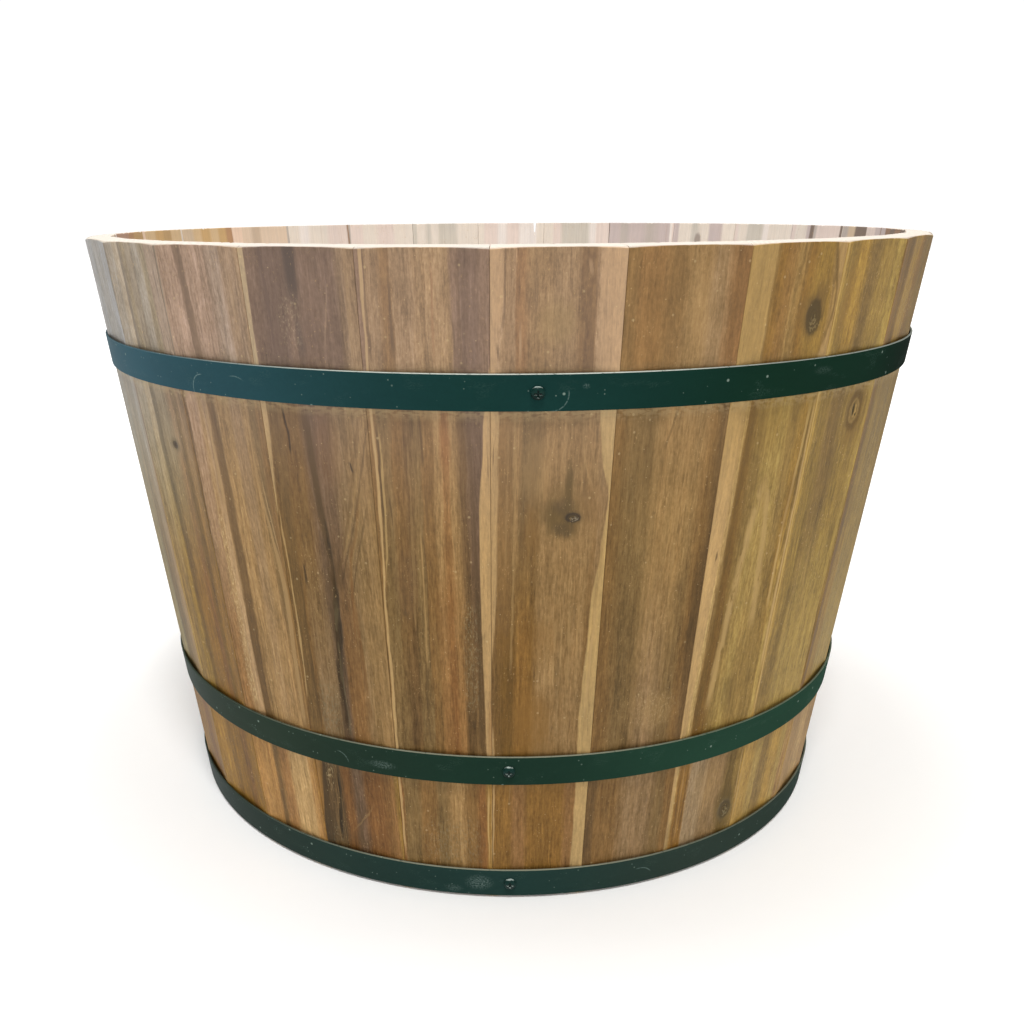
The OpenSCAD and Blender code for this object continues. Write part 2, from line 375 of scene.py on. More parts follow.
def wood(name, spec, seed):
    g = Graph(name)
    u, z, w, off = wood_coords(g, seed)
    gv = lambda su, sz, sw=None, a=u: grain_vec(g, a, z, w, off, su, sz, sw)
    low = g.snoise(gv(46, 170), detail=2) * spec.get("drift", 0.9)
    mid = g.snoise(gv(13, 66), detail=2) * spec.get("wave", 0.7)
    hi = g.snoise(gv(2.4, 20), detail=3, rough=0.6)
    fe = g.snoise(gv(1.3, 26), detail=3, rough=0.6)
    ua = u + low + mid + hi * 0.5 + fe * 1.1
    us = u + mid * 0.35 + hi * 0.36 + fe * 0.35

    # knots push the grain aside
    knots = []
    for k in spec.get("knots", []):
        du = (u - k["u"]) * (1.0 / k["ru"])
        dz = (z - k["z"]) * (1.0 / k["rz"])
        t = k.get("tilt", 0.0)
        if t:
            c, s = math.cos(t), math.sin(t)
            du, dz = du * c + dz * s, dz * c - du * s
        e = g.sqrt(du * du + dz * dz) + g.snoise(gv(3.2, 4.2), detail=3, rough=0.65) * 0.16
        push = g.pw(2.718, e * e * (-0.11)) * k.get("push", 0.45)
        ua = ua - (u - k["u"]) * push
        us = us - (u - k["u"]) * push * 0.5
        knots.append((k, e, du, dz))

    # broad stripes at four heights
    T, M1, M2, B = (spec[k] for k in ("T", "M1", "M2", "B"))
    kt = spec.get("tone", 1.0)
    if T is M1 and M1 is M2 and M2 is B:
        col = g.ramp(ua, T, k=kt)
    else:
        zw = z + fe * 10.0 + mid * 14.0
        za, zb = spec.get("zm", (120, 250))
        col = g.mix(g.ss(zw, za, zb), g.ramp(ua, M2, k=kt), g.ramp(ua, M1, k=kt))
        col = g.mix(g.ss(z, 303, 318), col, g.ramp(ua, T, k=kt))
        col = g.mix(g.ss(z, 84, 97), g.ramp(ua, B, k=kt), col)

    # softer stripes of their own: grain bands of several widths
    b1 = g.snoise(gv(4.2, 200, 6.0, ua), detail=3, rough=0.55)
    b2 = g.snoise(gv(1.7, 60, 2.4, ua), detail=3, rough=0.65)
    fib = g.snoise(gv(0.95, 8, 0.9), detail=2, rough=0.6)
    cloud = g.snoise(gv(11, 30), detail=4, rough=0.65)
    fleck = g.snoise(gv(1.5, 2.9), detail=2, rough=0.7)
    amt = spec.get("amt", 1.0)
    f = b1 * (0.17 * amt) + b2 * (0.30 * amt) + fib * 0.27 + cloud * 0.22 + fleck * 0.20 + 1.0
    f = f + (cloud * 0.16 + fleck * 0.10 + b1 * 0.08) * g.ss(z, 303, 318)
    col = g.scale(col, f)
    col = g.tint(col, 1.0, (f - 1.0) * 0.16 + 1.0, (f - 1.0) * 0.55 + 1.0)
    hue = b1 * 0.6 + cloud * 0.6 + fleck * 0.25
    col = g.tint(col, hue * 0.040 + 1.0, hue * -0.010 + 1.0, hue * -0.060 + 1.0)
    # thin darker lines of the year rings, and paler ones
    yr = g.noise(gv(2.0, 34, 3.0, ua), detail=3, rough=0.68)
    col = g.scale(col, 1.0 - g.ss(yr, 0.56, 0.68) * 0.20 + g.ss(yr, 0.30, 0.44, 1.0, 0.0) * 0.17)
    # pale wisps where the fibres lie open
    ws = g.noise(gv(1.5, 7.5), detail=3, rough=0.7)
    ws = g.ss(ws, 0.53, 0.68) * g.ss(g.noise(gv(10, 26), detail=3, rough=0.6), 0.42, 0.62)
    col = g.mix(ws * 0.36, col, g.tint(g.scale(col, 1.45), 1.0, 1.05, 1.22))

    height = b2 * 0.016 + fib * 0.012 + b1 * 0.012 + fleck * 0.006
    rough = b2 * 0.03 + cloud * 0.03 + fleck * 0.03 + spec.get("rough", 0.56)

    # regions between two edges
    for r in spec.get("regions", []):
        soft = r.get("soft", 0.8) * 1.35
        x = us if soft < 1.6 else us + hi * 0.6 * min(soft * 0.3, 1.5)
        m = None
        if r.get("l") is not None:
            e = g.path(z, r["l"])
            m = g.ss(x - e, -soft / 2, soft / 2)
        if r.get("r") is not None:
            e = g.path(z, r["r"])
            m2 = g.ss(x - e, -soft / 2, soft / 2, 1.0, 0.0)
            m = m2 if m is None else m * m2
        if "z" in r:
            z0, z1 = r["z"]
            s = r.get("zsoft", 12.0)
            wz = z + hi * min(s * 0.4, 8.0)
            if z0 is not None:
                m = m * g.ss(wz, z0 - s / 2, z0 + s / 2)
            if z1 is not None:
                m = m * g.ss(wz, z1 - s / 2, z1 + s / 2, 1.0, 0.0)
        if r.get("speck"):
            m = m * g.ss(g.noise(gv(1.0, 2.6), detail=3, rough=0.7), 0.5, 0.62)
        if r.get("streaky"):
            m = m * g.ss(g.noise(gv(0.9, 26), detail=3, rough=0.65), 0.38, 0.60)
        m = m * r.get("a", 0.9)
        c = tone(r["c"], kt if r["a"] < 0.8 else 1.0)
        tex = g.scale(g.comb(*c), b2 * 0.19 + fib * 0.15 + fleck * 0.12 + b1 * 0.12 + cloud * 0.14 + 1.0)
        tex = g.tint(tex, hue * 0.02 + 1.0, 1.0, hue * -0.05 + 1.0)
        col = g.mix(m, col, tex)

    # lines that follow a path
    for s in spec.get("lines", []):
        c = g.path(z, s["p"])
        wd = s.get("w", 1.4) / 2
        soft = s.get("soft", 0.5)
        x = us + hi * s.get("feather", 0.12)
        d = g.absv(x - c)
        if isinstance(s.get("wp"), list):
            wv = g.path(z, s["wp"]) * 0.5
            m = g.clamp((wv - d) * (1.0 / max(soft, 0.1)) + 0.5)
        else:
            m = g.ss(d, wd * (1 - soft), wd * (1 + soft), 1.0, 0.0)
        zs = [p[0] for p in s["p"]] if isinstance(s["p"], list) else list(s["z"])
        fade = s.get("fade", 14.0)
        m = m * g.ss(z, min(zs) - 0.5, min(zs) + fade) if min(zs) > 1 else m
        m = m * g.ss(z, max(zs) - fade, max(zs) + 0.5, 1.0, 0.0) if max(zs) < 379 else m
        if s.get("broken"):
            m = m * g.ss(g.noise(gv(6, 16), detail=3, rough=0.6), 0.5 - 0.16 * s["broken"], 0.62 - 0.16 * s["broken"])
        m = m * s.get("a", 0.7)
        col = g.mix(m, col, tone(s["c"]))
        if s.get("deep"):
            height = height - m * s["deep"]
            rough = rough + m * 0.2

    # soft patches
    for p in spec.get("patches", []):
        du = (us + hi * 0.5 - p["u"]) * (1.0 / p["ru"])
        dz = (z + hi * 3.0 - p["z"]) * (1.0 / p["rz"])
        e = g.sqrt(du * du + dz * dz) + cloud * 0.16 + fe * 0.10
        m = g.ss(e, 0.35, 1.1, 1.0, 0.0)
        if p.get("speck"):
            m = m * g.ss(g.noise(gv(1.0, 2.2), detail=3, rough=0.7), 0.5, 0.66)
        if p.get("streaky"):
            m = m * g.ss(g.noise(gv(0.9, 20), detail=3, rough=0.65), 0.36, 0.60)
        col = g.mix(m * p.get("a", 0.6), col, tone(p["c"]))
        if p.get("deep"):
            height = height - m * p["deep"]

    # knots
    for k, e, du, dz in knots:
        feather = fib * 0.10 + b2 * 0.12
        halo = g.ss(e + feather * 1.6, 1.0, k.get("halo", 2.6), 1.0, 0.0) * k.get("halo_a", 0.55)
        col = g.mix(halo, col, tone(k.get("halo_c", "taupe")))
        if k.get("streak"):
            lo_, hi_ = k["streak"]
            sw = k.get("streak_w", 0.6)
            m = g.ss(g.absv(du + hi * 0.10), sw * 0.25, sw * 1.3, 1.0, 0.0)
            m = m * g.ss(dz, lo_, lo_ + 0.8) * g.ss(dz, hi_ * 0.35, hi_, 1.0, 0.0)
            col = g.mix(m * k.get("streak_a", 0.6), col, tone(k.get("streak_c", "olivk")))
        ring = g.ss(e, 1.02, 1.45, 1.0, 0.0)
        col = g.mix(ring * k.get("a", 0.9), col, tone(k.get("ring", "knot")))
        core = g.ss(e, 0.45, 0.95, 1.0, 0.0)
        rings = g.sin(e * 15.0 + g.snoise(gv(2.2, 2.6), detail=2) * 1.5) * 0.5 + 0.5
        cc = g.mix(rings * 0.75, tone(k.get("core", "brown")), tone(k.get("core2", "knot")))
        col = g.mix(core * k.get("core_a", 0.9), col, cc)
        if k.get("crescent"):
            wob = g.snoise(gv(1.9, 2.2), detail=3, rough=0.6) * 0.20
            for q, t, a in ((0.52, -0.2, 0.85), (0.86, -0.45, 0.55), (0.30, 0.15, 0.5)):
                cr = g.ss(g.absv(e + wob - q), 0.04, 0.16, 1.0, 0.0) * g.ss(dz * (-0.8) + du * 0.55 + wob + t, -0.05, 0.25)
                cr = cr * g.ss(g.noise(gv(1.5, 1.7), detail=2), 0.32, 0.54)
                col = g.mix(cr * a, col, tone(k["crescent"]))
                height = height - cr * 0.12
        if k.get("crack"):
            cr = g.ss(g.absv(du * 0.8 - dz * 0.25 + g.snoise(gv(1.8, 2.4), detail=3) * 0.22), 0.03, 0.16, 1.0, 0.0)
            cr = cr * g.ss(e, 0.75, 1.05, 1.0, 0.0)
            col = g.mix(cr * 0.85, col, tone(k["crack"]))
            height = height - cr * 0.35
        height = height - ring * 0.10 + rings * core * 0.07
        rough = rough + ring * 0.06

    # pores, fine dark dashes along the grain
    pore = g.ss(g.noise(gv(0.55, 8.5, 0.55), detail=2, rough=0.6), 0.60, 0.70)
    col = g.scale(col, 1.0 - pore * 0.16)
    height = height - pore * 0.05

    # raw, paler wood on the inside, its paleness partly painted light
    inner = g.ss(w + hi * 0.2, 6.0, 9.0)
    ic = g.ramp(u + mid * 0.5 + hi * 0.35, spec.get("I") or [(-40, "icream")], soft=1.8)
    streaks = g.snoise(gv(0.9, 90, 2.0), detail=4, rough=0.65)
    ic = g.scale(ic, streaks * 0.10 + b2 * 0.04 + fib * 0.05 + cloud * 0.05 + 1.0)
    ic = g.tint(ic, hue * 0.02 + 1.0, 1.0, hue * -0.03 + 1.0)
    lines = g.ss(g.noise(gv(1.5, 70, 2.0), detail=3, rough=0.7), 0.60, 0.74)
    ic = g.mix(lines * 0.28, ic, tone("ibrown"))
    for k in spec.get("iknots", []):
        du = (u - k["u"]) * (1.0 / k["ru"])
        dz = (z - k["z"]) * (1.0 / k["rz"])
        e = g.sqrt(du * du + dz * dz) + g.snoise(gv(2.6, 3.0), detail=3, rough=0.65) * 0.2
        ic = g.mix(g.ss(e, 0.8, 1.6, 1.0, 0.0) * 0.85, ic, tone("idark"))
        ic = g.mix(g.ss(e, 1.0, 2.6, 1.0, 0.0) * 0.35, ic, tone("igrey"))
    # a darker tone further down inside
    deep = g.ss(z + cloud * 30.0, 20.0, 250.0, 0.62, 1.0)
    ic = g.scale(ic, deep)
    col = g.mix(inner, col, ic)

    # painted sheen: the upper part mixed a little toward a paler, greyer colour
    bleach = g.ss(z, 190.0, 350.0) * 0.19 * spec.get("bleach", 1.0)
    col = g.mix(bleach, col, lin(spec.get("bc", (194, 165, 144))))
    # painted light and painted sheen: each stave's outer colour is made brighter or darker by height (light) and cooler
    # or warmer (cool), in place of grazing sheen and bounce light
    if spec.get("light"):
        t3, m3, b3 = spec["light"]
        c1, c2, c3 = spec["cool"]
        painted_light = g.path(z, [(380, t3 * 20), (325, t3 * 20), (225, m3 * 20), (125, m3 * 20), (50, b3 * 20)]) * 0.05
        co = g.path(z, [(380, c1 * 40), (325, c1 * 40), (225, c2 * 40), (125, c2 * 18 + c3 * 22), (50, c3 * 40)]) * 0.025
        col = g.mix(inner, g.tint(col, painted_light * (1.0 - g.clamp(co) * 0.25), painted_light, painted_light * (1.0 + co)), col)
    # small pale flecks in clusters, where the fibres stand up
    fl = g.noise(gv(0.95, 1.9), detail=2, rough=0.6)
    fl = g.ss(fl, 0.60, 0.72) * g.ss(g.noise(gv(8, 16), detail=3, rough=0.6), 0.46, 0.66)
    col = g.mix(fl * 0.40 * spec.get("flecks", 1.0), col, tone("sapl", 1.08))

    # dust specks and pale bruises
    dust = speck_mask(g, u + hi * 0.2, z, w, off, 7.5, 0.95, 0.32)
    dust2 = speck_mask(g, u + hi * 0.2, z, w, (off[1], off[2], off[0]), 3.1, 0.46, 0.22)
    col = g.mix(dust * 0.26 + dust2 * 0.30, col, tone("bone", 1.2))
    height = height + dust * 0.05

    # joints hold a thin dark line of dirt, hoop edges leave a pale rub
    edge, _ = g.attr("edge")
    ex, ey, ez = g.sep(edge)  # mm to the long edge, mm to the nearest end, hoop rub
    dirt = g.ss(ex + hi * 0.12, 0.02, 0.55, 1.0, 0.0)
    col = g.scale(col, 1.0 - dirt * 0.14)
    rub = ez * g.ss(g.noise(gv(4.0, 2.0), detail=2), 0.36, 0.55)
    col = g.mix(rub * 0.34, col, tone("bone"))

    g.principled(Base_Color=col, Roughness=g.clamp(rough), Specular_IOR_Level=0.2,
                 Normal=g.bump(height, 1.0))
    return g.mat


def end_grain(name, spec, seed):
    g = Graph(name)
    u, z, w, off = wood_coords(g, seed)
    rnd = random.Random(seed * 7 + 3)
    cu, cw = rnd.uniform(-30, 30), rnd.choice([-1, 1]) * rnd.uniform(24, 60) + 7
    n1 = g.snoise(g.vec("ADD", g.comb(u * 0.08, w * 0.08, 0.0), off), detail=3) * 1.8
    du, dw = u - cu, w - cw
    r = g.sqrt(du * du + dw * dw) + n1
    ring = g.sin(r * (2 * pi / rnd.uniform(2.6, 4.2))) * 0.5 + 0.5
    fine = g.snoise(g.vec("ADD", g.comb(u * 1.9, w * 1.9, z * 0.2), off), detail=4, rough=0.7)
    pores = g.ss(g.noise(g.vec("ADD", g.comb(u * 2.6, w * 2.6, 0.0), off), detail=2), 0.60, 0.70)
    base = g.ramp(u, spec["T"], soft=5)
    # pale end grain: raw wood, and partly a painted highlight of the brightly lit rim
    pale = lin((222, 214, 204))
    col = g.mix(g.ss(w + fine * 0.3, 0.5, 2.4, 0.45, 0.90), base, pale)
    col = g.scale(col, ring * 0.10 + fine * 0.06 + 0.92)
    col = g.scale(col, 1.0 - pores * 0.18)
    saw = g.snoise(g.comb(u * 0.35 + w * 0.2, w * 1.2 - u * 0.05, 0.0), detail=2)
    col = g.scale(col, saw * 0.03 + 1.0)
    foot = g.ss(z, 60.0, 200.0)
    col = g.mix(foot, g.scale(col, 0.55), col)
    h = ring * 0.03 + fine * 0.03 - pores * 0.06 + saw * 0.03
    g.principled(Base_Color=col, Roughness=0.72, Specular_IOR_Level=0.25, Normal=g.bump(h, 1.0))
    return g.mat


# ---------------------------------------------------------------- the staves' own looks
def L(c, p, w=1.4, a=0.7, **kw):
    return dict(c=c, p=p, w=w, a=a, **kw)


def R(c, l, r, z=None, a=0.9, soft=0.8, **kw):
    d = dict(c=c, l=l, r=r, a=a, soft=soft, **kw)
    if z:
        d["z"] = z
    return d


def P(c, u, z, ru, rz, a=0.6, **kw):
    return dict(c=c, u=u, z=z, ru=ru, rz=rz, a=a, **kw)


LOOK = {
    # staves 22 to 24: their grey upper tones are partly painted sheen from the bright surroundings at the left
    22: dict(tone=1.00, light=(0.87, 0.99, 1.2), cool=(0.24, 0.06, -0.1),
        T=[(-40, "greyw"), (10, "greige")], M1=[(-40, "greige"), (8, "olgr")],
        M2=[(-40, "olgr"), (0, "greyt")], B=[(-40, "amber"), (5, "rust")], bleach=0.8, bc=(184, 176, 168)),
    23: dict(tone=1.04, light=(0.9, 0.95, 1.0), cool=(0.22, 0.02, -0.25),
        T=[(-40, "greyw"), (-12, "greige", 6), (14, "greyw", 8)],
        M1=[(-40, "greige"), (-14, "greyt", 8), (12, "greige", 6), (25, "fawn", 4)], zm=(170, 280),
        M2=[(-40, "olgr"), (-8, "browng", 8), (8, "fawn", 8), (19, "tan", 6), (25, "gold", 3)],
        B=[(-40, "amber"), (0, "rust", 6), (14, "amber", 6), (26, "gold")], bleach=0.8,
        bc=(184, 176, 168), lines=[L("taupe", [(380, 2), (200, 1)], 2.2, 0.25, feather=0.5), L("taupe", [(378, 22), (220, 21)], 2.6, 0.3, feather=0.5)]),
    24: dict(tone=0.97, light=(0.97, 0.94, 0.97), cool=(0.13, -0.16, -0.46),
        T=[(-40, "greige"), (-21, "greigel"), (-14, "taupe", 1.2), (-10.5, "olgr"), (-5, "greyt"),
           (4, "greige"), (13, "olgr"), (20, "pinkt")],
        M1=[(-40, "greige"), (-20, "greigel"), (-12.5, "taupe", 1.8), (-6, "greyt", 5), (8, "fawn", 8),
            (16, "browng", 6), (21, "fawn"), (28, "brown", 1.5), (30.5, "tan", 1.5)],
        M2=[(-40, "tan"), (-27, "tan", 2), (-18, "gold"), (-10.5, "amberd", 1.5), (-4, "amber", 5),
            (8, "rust", 6), (14, "amberd", 4), (19, "amber", 4), (26, "amber", 2), (29.5, "tanl", 1.5)],
        B=[(-40, "amber"), (-29, "peach", 1.5), (-8.5, "amber", 1), (0, "amber", 6), (11, "rust", 6), (17, "amber", 4)],
        bleach=0.8, zm=(165, 290), flecks=1.4,
        lines=[L("sapl", [(246, -31), (200, -29.6), (150, -28.7), (100, -27.2)], 2.0, 0.9),
               L("brown", [(225, -32), (110, -30)], 1.3, 0.5),
               L("olivd", [(240, -26), (130, -24.5)], 1.2, 0.25),
               L("taupe", [(378, -12.5), (322, -12.5)], 1.6, 0.4)],
        patches=[P("greyt", 6, 272, 13, 20, 0.35), P("taupe", 7, 266, 8, 4.5, 0.5)],
        knots=[dict(u=7.2, z=266, ru=2.6, rz=2.0, ring="knot", core="black", core2="umber", halo=2.9, a=0.7,
                    halo_c="olivk", halo_a=0.4, streak=(-3.5, 3.0), streak_c="taupe", streak_a=0.3, push=0.3)]),
    25: dict(tone=1.14, light=(0.95, 0.93, 1.08), cool=(0.2, 0.0, 0.02),
        T=[(-40, "taupe"), (-30, "pink", 1), (8, "pinkt", 6), (18, "fawn"), (29, "tank")],
        M1=[(-40, "brownd"), (-29, "pink", 1.2), (-20, "tank"), (-5, "tan", 3), (6, "fawn"), (15, "tan"),
            (21, "browng"), (26, "brown")],
        M2=[(-40, "brown"), (-28, "rustl", 1.5), (-20, "tank", 4), (-11, "brown", 1.5), (-3, "tan", 4),
            (6, "tank", 5), (12, "tan"), (18, "tan"), (22, "brown"), (28, "amber")],
        B=[(-40, "amber"), (-28, "peach"), (-9.5, "brown", 1.2), (-5, "rustl"), (4, "tanl", 4), (12, "tanl"),
           (21, "peach"), (25, "amber", 2)],
        bleach=0.9,
        regions=[R("brownd", [(380, -17), (350, -15), (318, -13.2), (300, -12), (230, -11), (160, -10.5), (98, -9.8)],
                   [(380, -11.5), (350, -9), (318, -7.5), (280, -5.5), (200, -3.5), (100, -6)], a=0.80, soft=1.6),
                 R("tanl", -25, [(300, -13.5), (200, -13), (100, -12)], z=(104, 222), a=0.5, soft=5, speck=1),
                 R("bone", -20, [(300, -13.5), (200, -12.4), (100, -11.4)], z=(108, 232), a=0.42, soft=4, speck=1),
                 R("pinkl", [(300, -16.5), (100, -15.5)], [(300, -12.4), (200, -11.6), (100, -10.8)], z=(98, 302), a=0.5, soft=1.2),
                 R("brown", 25.5, 40, z=(100, 262), a=0.4, soft=2.5)],
        lines=[L("pinkl", [(380, -30.6), (320, -29.8)], 1.1, 0.65),
               L("umber", [(299, -29.7), (180, -28.8), (100, -28)], 1.0, 0.45),
               L("tanl", [(299, -13.4), (230, -12.8)], 2.0, 0.6),
               L("brownd", [(175, -10.6), (100, -9.2)], 1.3, 0.7),
               L("tanl", [(300, 20), (270, 18.6), (250, 19.2), (240, 20.8), (220, 23.3), (200, 25.6), (190, 26.2),
                          (170, 25.6), (150, 24.6), (120, 24), (98, 23.5)], 2.2, 0.85, feather=0.3, soft=0.8, wp=[(300, 0.7), (250, 1.0), (235, 1.5), (200, 3.4), (98, 3.0)]),
               L("sapl", [(262, 21.5), (225, 25.2), (205, 28)], 0.8, 0.5),
               L("tanl", [(190, 29.2), (100, 27.4)], 1.0, 0.5),
               L("umber", [(276, 29.6), (262, 31.2)], 1.6, 0.5, feather=0.7, fade=6),
               L("tanl", [(258, 30.5), (225, 29.6), (196, 29.8)], 0.9, 0.55, feather=0.3),
               L("pinkl", [(378, 18), (325, 17)], 1.4, 0.3), L("tanl", [(372, 24), (326, 23)], 3.0, 0.25, feather=0.5)],
        patches=[P("umber", 32.2, 262, 3.2, 8, 0.85), P("brown", 27.5, 252, 5, 12, 0.4), P("sapl", 30.5, 246, 1.6, 5, 0.5, speck=1)]),
    26: dict(tone=0.90, light=(0.93, 0.90, 1.06), cool=(0.14, -0.08, 0.0),
        T=[(-40, "mauve"), (-22, "mauvd", 3), (-8, "mauve"), (19, "mauve"), (22, "fawn", 5), (27, "tank", 4)],
        M1=[(-40, "brown"), (-18, "brown", 2), (-8, "mauve", 5), (2, "mauve", 5), (10, "fawn", 6), (18, "tank", 5), (28, "tan", 3)],
        M2=[(-40, "brown"), (-18, "fawn", 3), (-5, "mauve", 2), (2, "rustl", 2), (13, "tank", 4), (17, "tan"), (27, "tan")],
        B=[(-40, "umber"), (-11, "rust", 3), (-4, "mauve", 4), (4, "rust", 4), (18, "rustl", 6), (25, "gold")],
        amt=1.15,
        regions=[R("sapl", None, [(380, -29.6), (322, -29), (300, -28.0), (285, -27.6), (262, -28.8), (242, -29.6), (225, -30.8), (100, -30.8)],
                   z=(100, None), a=0.85, soft=0.9),
                 R("bone", None, [(380, -29.6), (322, -29), (300, -28.4)], z=(306, None), a=0.5, soft=0.9),
                 R("rustl", -40, -27, z=(100, 150), a=0.5, soft=1.6),
                 R("browng", [(300, -27.5), (100, -27)], [(300, -19), (230, -20), (180, -21), (100, -20)], z=(100, 302), a=0.45, soft=2),
                 R("umber", None, [(84, -18.6), (66, -19.6), (50, -21.5), (30, -18.6)], z=(None, 88), a=0.55, soft=2.8),
                 R("knot", None, [(84, -20), (50, -22), (30, -21)], z=(None, 88), a=0.6, soft=2.0, streaky=1),
                 R("peach", None, [(86, -22.6), (70, -24), (50, -25.6), (36, -27), (22, -28)], z=(None, 90), a=0.97, soft=0.9),
                 R("amber", [(86, -24.4), (50, -27.2), (30, -28.6)], [(86, -22.4), (50, -25.4), (22, -27.8)], z=(None, 90), a=0.6, soft=0.8),
                 R("tan", -20, -11, z=(None, 84), a=0.42, soft=3.5, streaky=1),
                 R("bone", -20.5, -16, z=(64, 80), a=0.45, soft=1.6, speck=1),
                 R("ash", -22, -14, z=(22, 36), a=0.35, soft=3, speck=1),
                 R("tank", -18, -5, z=(150, 215), a=0.4, soft=5, speck=1),
                 R("ash", -18, -6, z=(98, 135), a=0.55, soft=4, speck=1)],
        lines=[L("black", [(380, -3.5), (362, -3.5), (345, -3)], 6.8, 0.95, soft=0.6, feather=0.5, fade=20),
               L("slate", [(350, -4), (335, -1.5), (324, 0)], 2.2, 0.35, feather=0.8, fade=8),
               L("slate", [(345, -3), (322, -2.5)], 3.0, 0.35, fade=8),
               L("plum", [(380, -19.5), (350, -18.6), (322, -17.4)], 1.5, 0.75),
               L("black", [(301, -18.6), (292, -17.8), (284, -16.6), (272, -17)], 1.2, 0.85, deep=0.35, fade=6),
               L("umber", [(300, -6), (280, -4.5), (255, -3.2), (235, -1.5), (215, 0)], 3.6, 0.78, soft=0.6, feather=0.8),
               L("mauvd", [(300, 1), (280, -1), (262, -2)], 2.6, 0.4),
               L("black", [(246, -1.2), (216, 0.3), (200, 0.6), (188, 0.2), (172, -0.9), (150, -2), (130, -2.6), (112, -2.4), (98, -2.4)], 3.2, 0.78,
                 wp=[(246, 0.2), (216, 1.2), (205, 1.9), (190, 2.4), (170, 3.2), (150, 2.6), (120, 1.8), (98, 1.4)], deep=0.3, feather=1.0, soft=1.3),
               L("black", [(212, 0.2), (192, 1.4), (168, 0.4), (148, -0.8)], 1.2, 0.7, feather=1.1, soft=0.8),
               L("black", [(170, -2.4), (140, -3.6), (116, -3.4)], 1.1, 0.6, feather=1.1, soft=0.8),
               L("ash", [(196, 0.6), (184, -0.4), (150, -1.8), (120, -1.0), (98, -0.4)], 1.5, 0.32, feather=1.2, soft=0.8, broken=0.7),
               L("umber", [(230, 0.4), (206, 1.0), (190, 0)], 6.0, 0.4, soft=0.9, feather=1.4, fade=18),
               L("umber", [(218, 0), (160, -2), (98, -3)], 7.5, 0.38, soft=0.8, feather=1.6),
               L("sapl", [(246, -28.8), (215, -27.6), (180, -26.8), (150, -26.6), (120, -27.6)], 0.9, 0.65, feather=0.25),
               L("umber", [(232, -30), (190, -29.2), (150, -28.6)], 0.9, 0.4, feather=0.3),
               L("tanl", [(212, -30.6), (150, -30.4), (104, -30.6)], 1.2, 0.5, feather=0.2),
               L("black", [(212, -17.8), (204, -17.4), (196, -17)], 1.3, 0.6, fade=5),
               L("umber", [(302, 33), (270, 25), (240, 17.5), (212, 8.5), (196, 3)], 1.1, 0.5, feather=0.35),
               L("brownd", [(302, 27), (270, 20), (240, 13.5), (215, 6.5), (200, 2.5)], 1.3, 0.45, feather=0.4),
               L("tanl", [(302, 30), (270, 22.6), (240, 15.5), (212, 6.8)], 1.1, 0.4, feather=0.4),
               L("umber", [(250, 26), (225, 19), (200, 12.5), (178, 7)], 1.0, 0.4, feather=0.4),
               L("brownd", [(300, -13), (270, -10), (245, -6), (225, -1.5)], 2.2, 0.4, feather=0.6),
               L("umber", [(302, -7), (282, -5.4), (258, -3.6), (238, -1.6)], 5.5, 0.62, soft=0.9, feather=0.9),
               L("tank", [(196, -18), (186, -14.5), (176, -10.5), (168, -7)], 1.6, 0.45, feather=0.5),
               L("umber", [(206, -20.5), (150, -21), (100, -19.5)], 1.6, 0.5),
               L("tanl", [(262, 24), (240, 19.5), (215, 13.5), (192, 8)], 1.2, 0.4, feather=0.4),
               L("rust", [(258, 22.5), (236, 18), (205, 11.5), (160, 10)], 1.3, 0.45, feather=0.5),
               L("rust", [(232, 15), (200, 11), (170, 12.5), (110, 15)], 1.4, 0.45, feather=0.5),
               L("pinkl", [(366, 17), (345, 13.5), (326, 10.5)], 0.9, 0.4),
               L("tanl", [(378, 28), (322, 26)], 2.2, 0.35),
               L("black", [(272.5, 18.2), (269, 18.8), (266.5, 19.6)], 1.2, 0.85, fade=1.5),
               L("black", [(80, -13.5), (62, -13), (40, -15), (22, -16)], 1.8, 0.75, feather=0.6, deep=0.2),
               L("umber", [(60, 8), (40, -1), (22, -3)], 4.5, 0.4, feather=1.0),
               L("tanl", [(60, 12), (45, 2), (30, -10)], 1.4, 0.3, feather=0.6),
               L("umber", [(88, -22), (60, -23.5), (22, -22)], 3.0, 0.5, feather=0.8)],
        patches=[P("umber", 0, 52, 4, 7, 0.4, streaky=1), P("bone", -7, 343, 9, 20, 0.34, speck=1), P("umber", -2, 28, 10, 5, 0.4, streaky=1), P("plum", 3, 340, 9, 12, 0.3),
                 P("umber", 2, 206, 4.5, 12, 0.4, streaky=1), P("umber", -24, 240, 2.5, 18, 0.3), P("mauvd", -12, 340, 5, 24, 0.4, streaky=1),
                 P("rust", 6, 280, 9, 30, 0.25), P("bone", -18, 74, 2.5, 4, 0.35, speck=1)]),
    27: dict(tone=1.00, light=(1.03, 1.03, 1.09), cool=(0.1, -0.03, 0.0),
        T=[(-40, "mauve"), (-31, "mauve"), (-28, "fawn", 1), (-21, "brown", 3), (-15, "fawn", 1), (-4, "tank", 5),
           (5, "tank"), (13.5, "mauve", 2), (18, "mauvd", 2), (27, "mauve", 3)],
        M1=[(-40, "brown"), (-27, "browng", 1), (-20, "brown"), (-14, "brownd", 3), (-9.5, "browng"), (-5, "brown", 1.2),
            (-1, "brown"), (1.5, "tan", 2), (5.5, "rustl", 2.2), (9.5, "tan", 2), (14, "brownd", 3), (19, "mauvd", 3)],
        M2=[(-40, "brown"), (-27, "browng", 1), (-18, "brownd", 4), (-11, "browng", 2), (-7, "browng", 1.4), (-4.5, "brown", 1.2),
            (1, "rustl"), (6, "rust", 4), (10, "rustl"), (14.5, "brownd", 3), (20, "brownd", 2)],
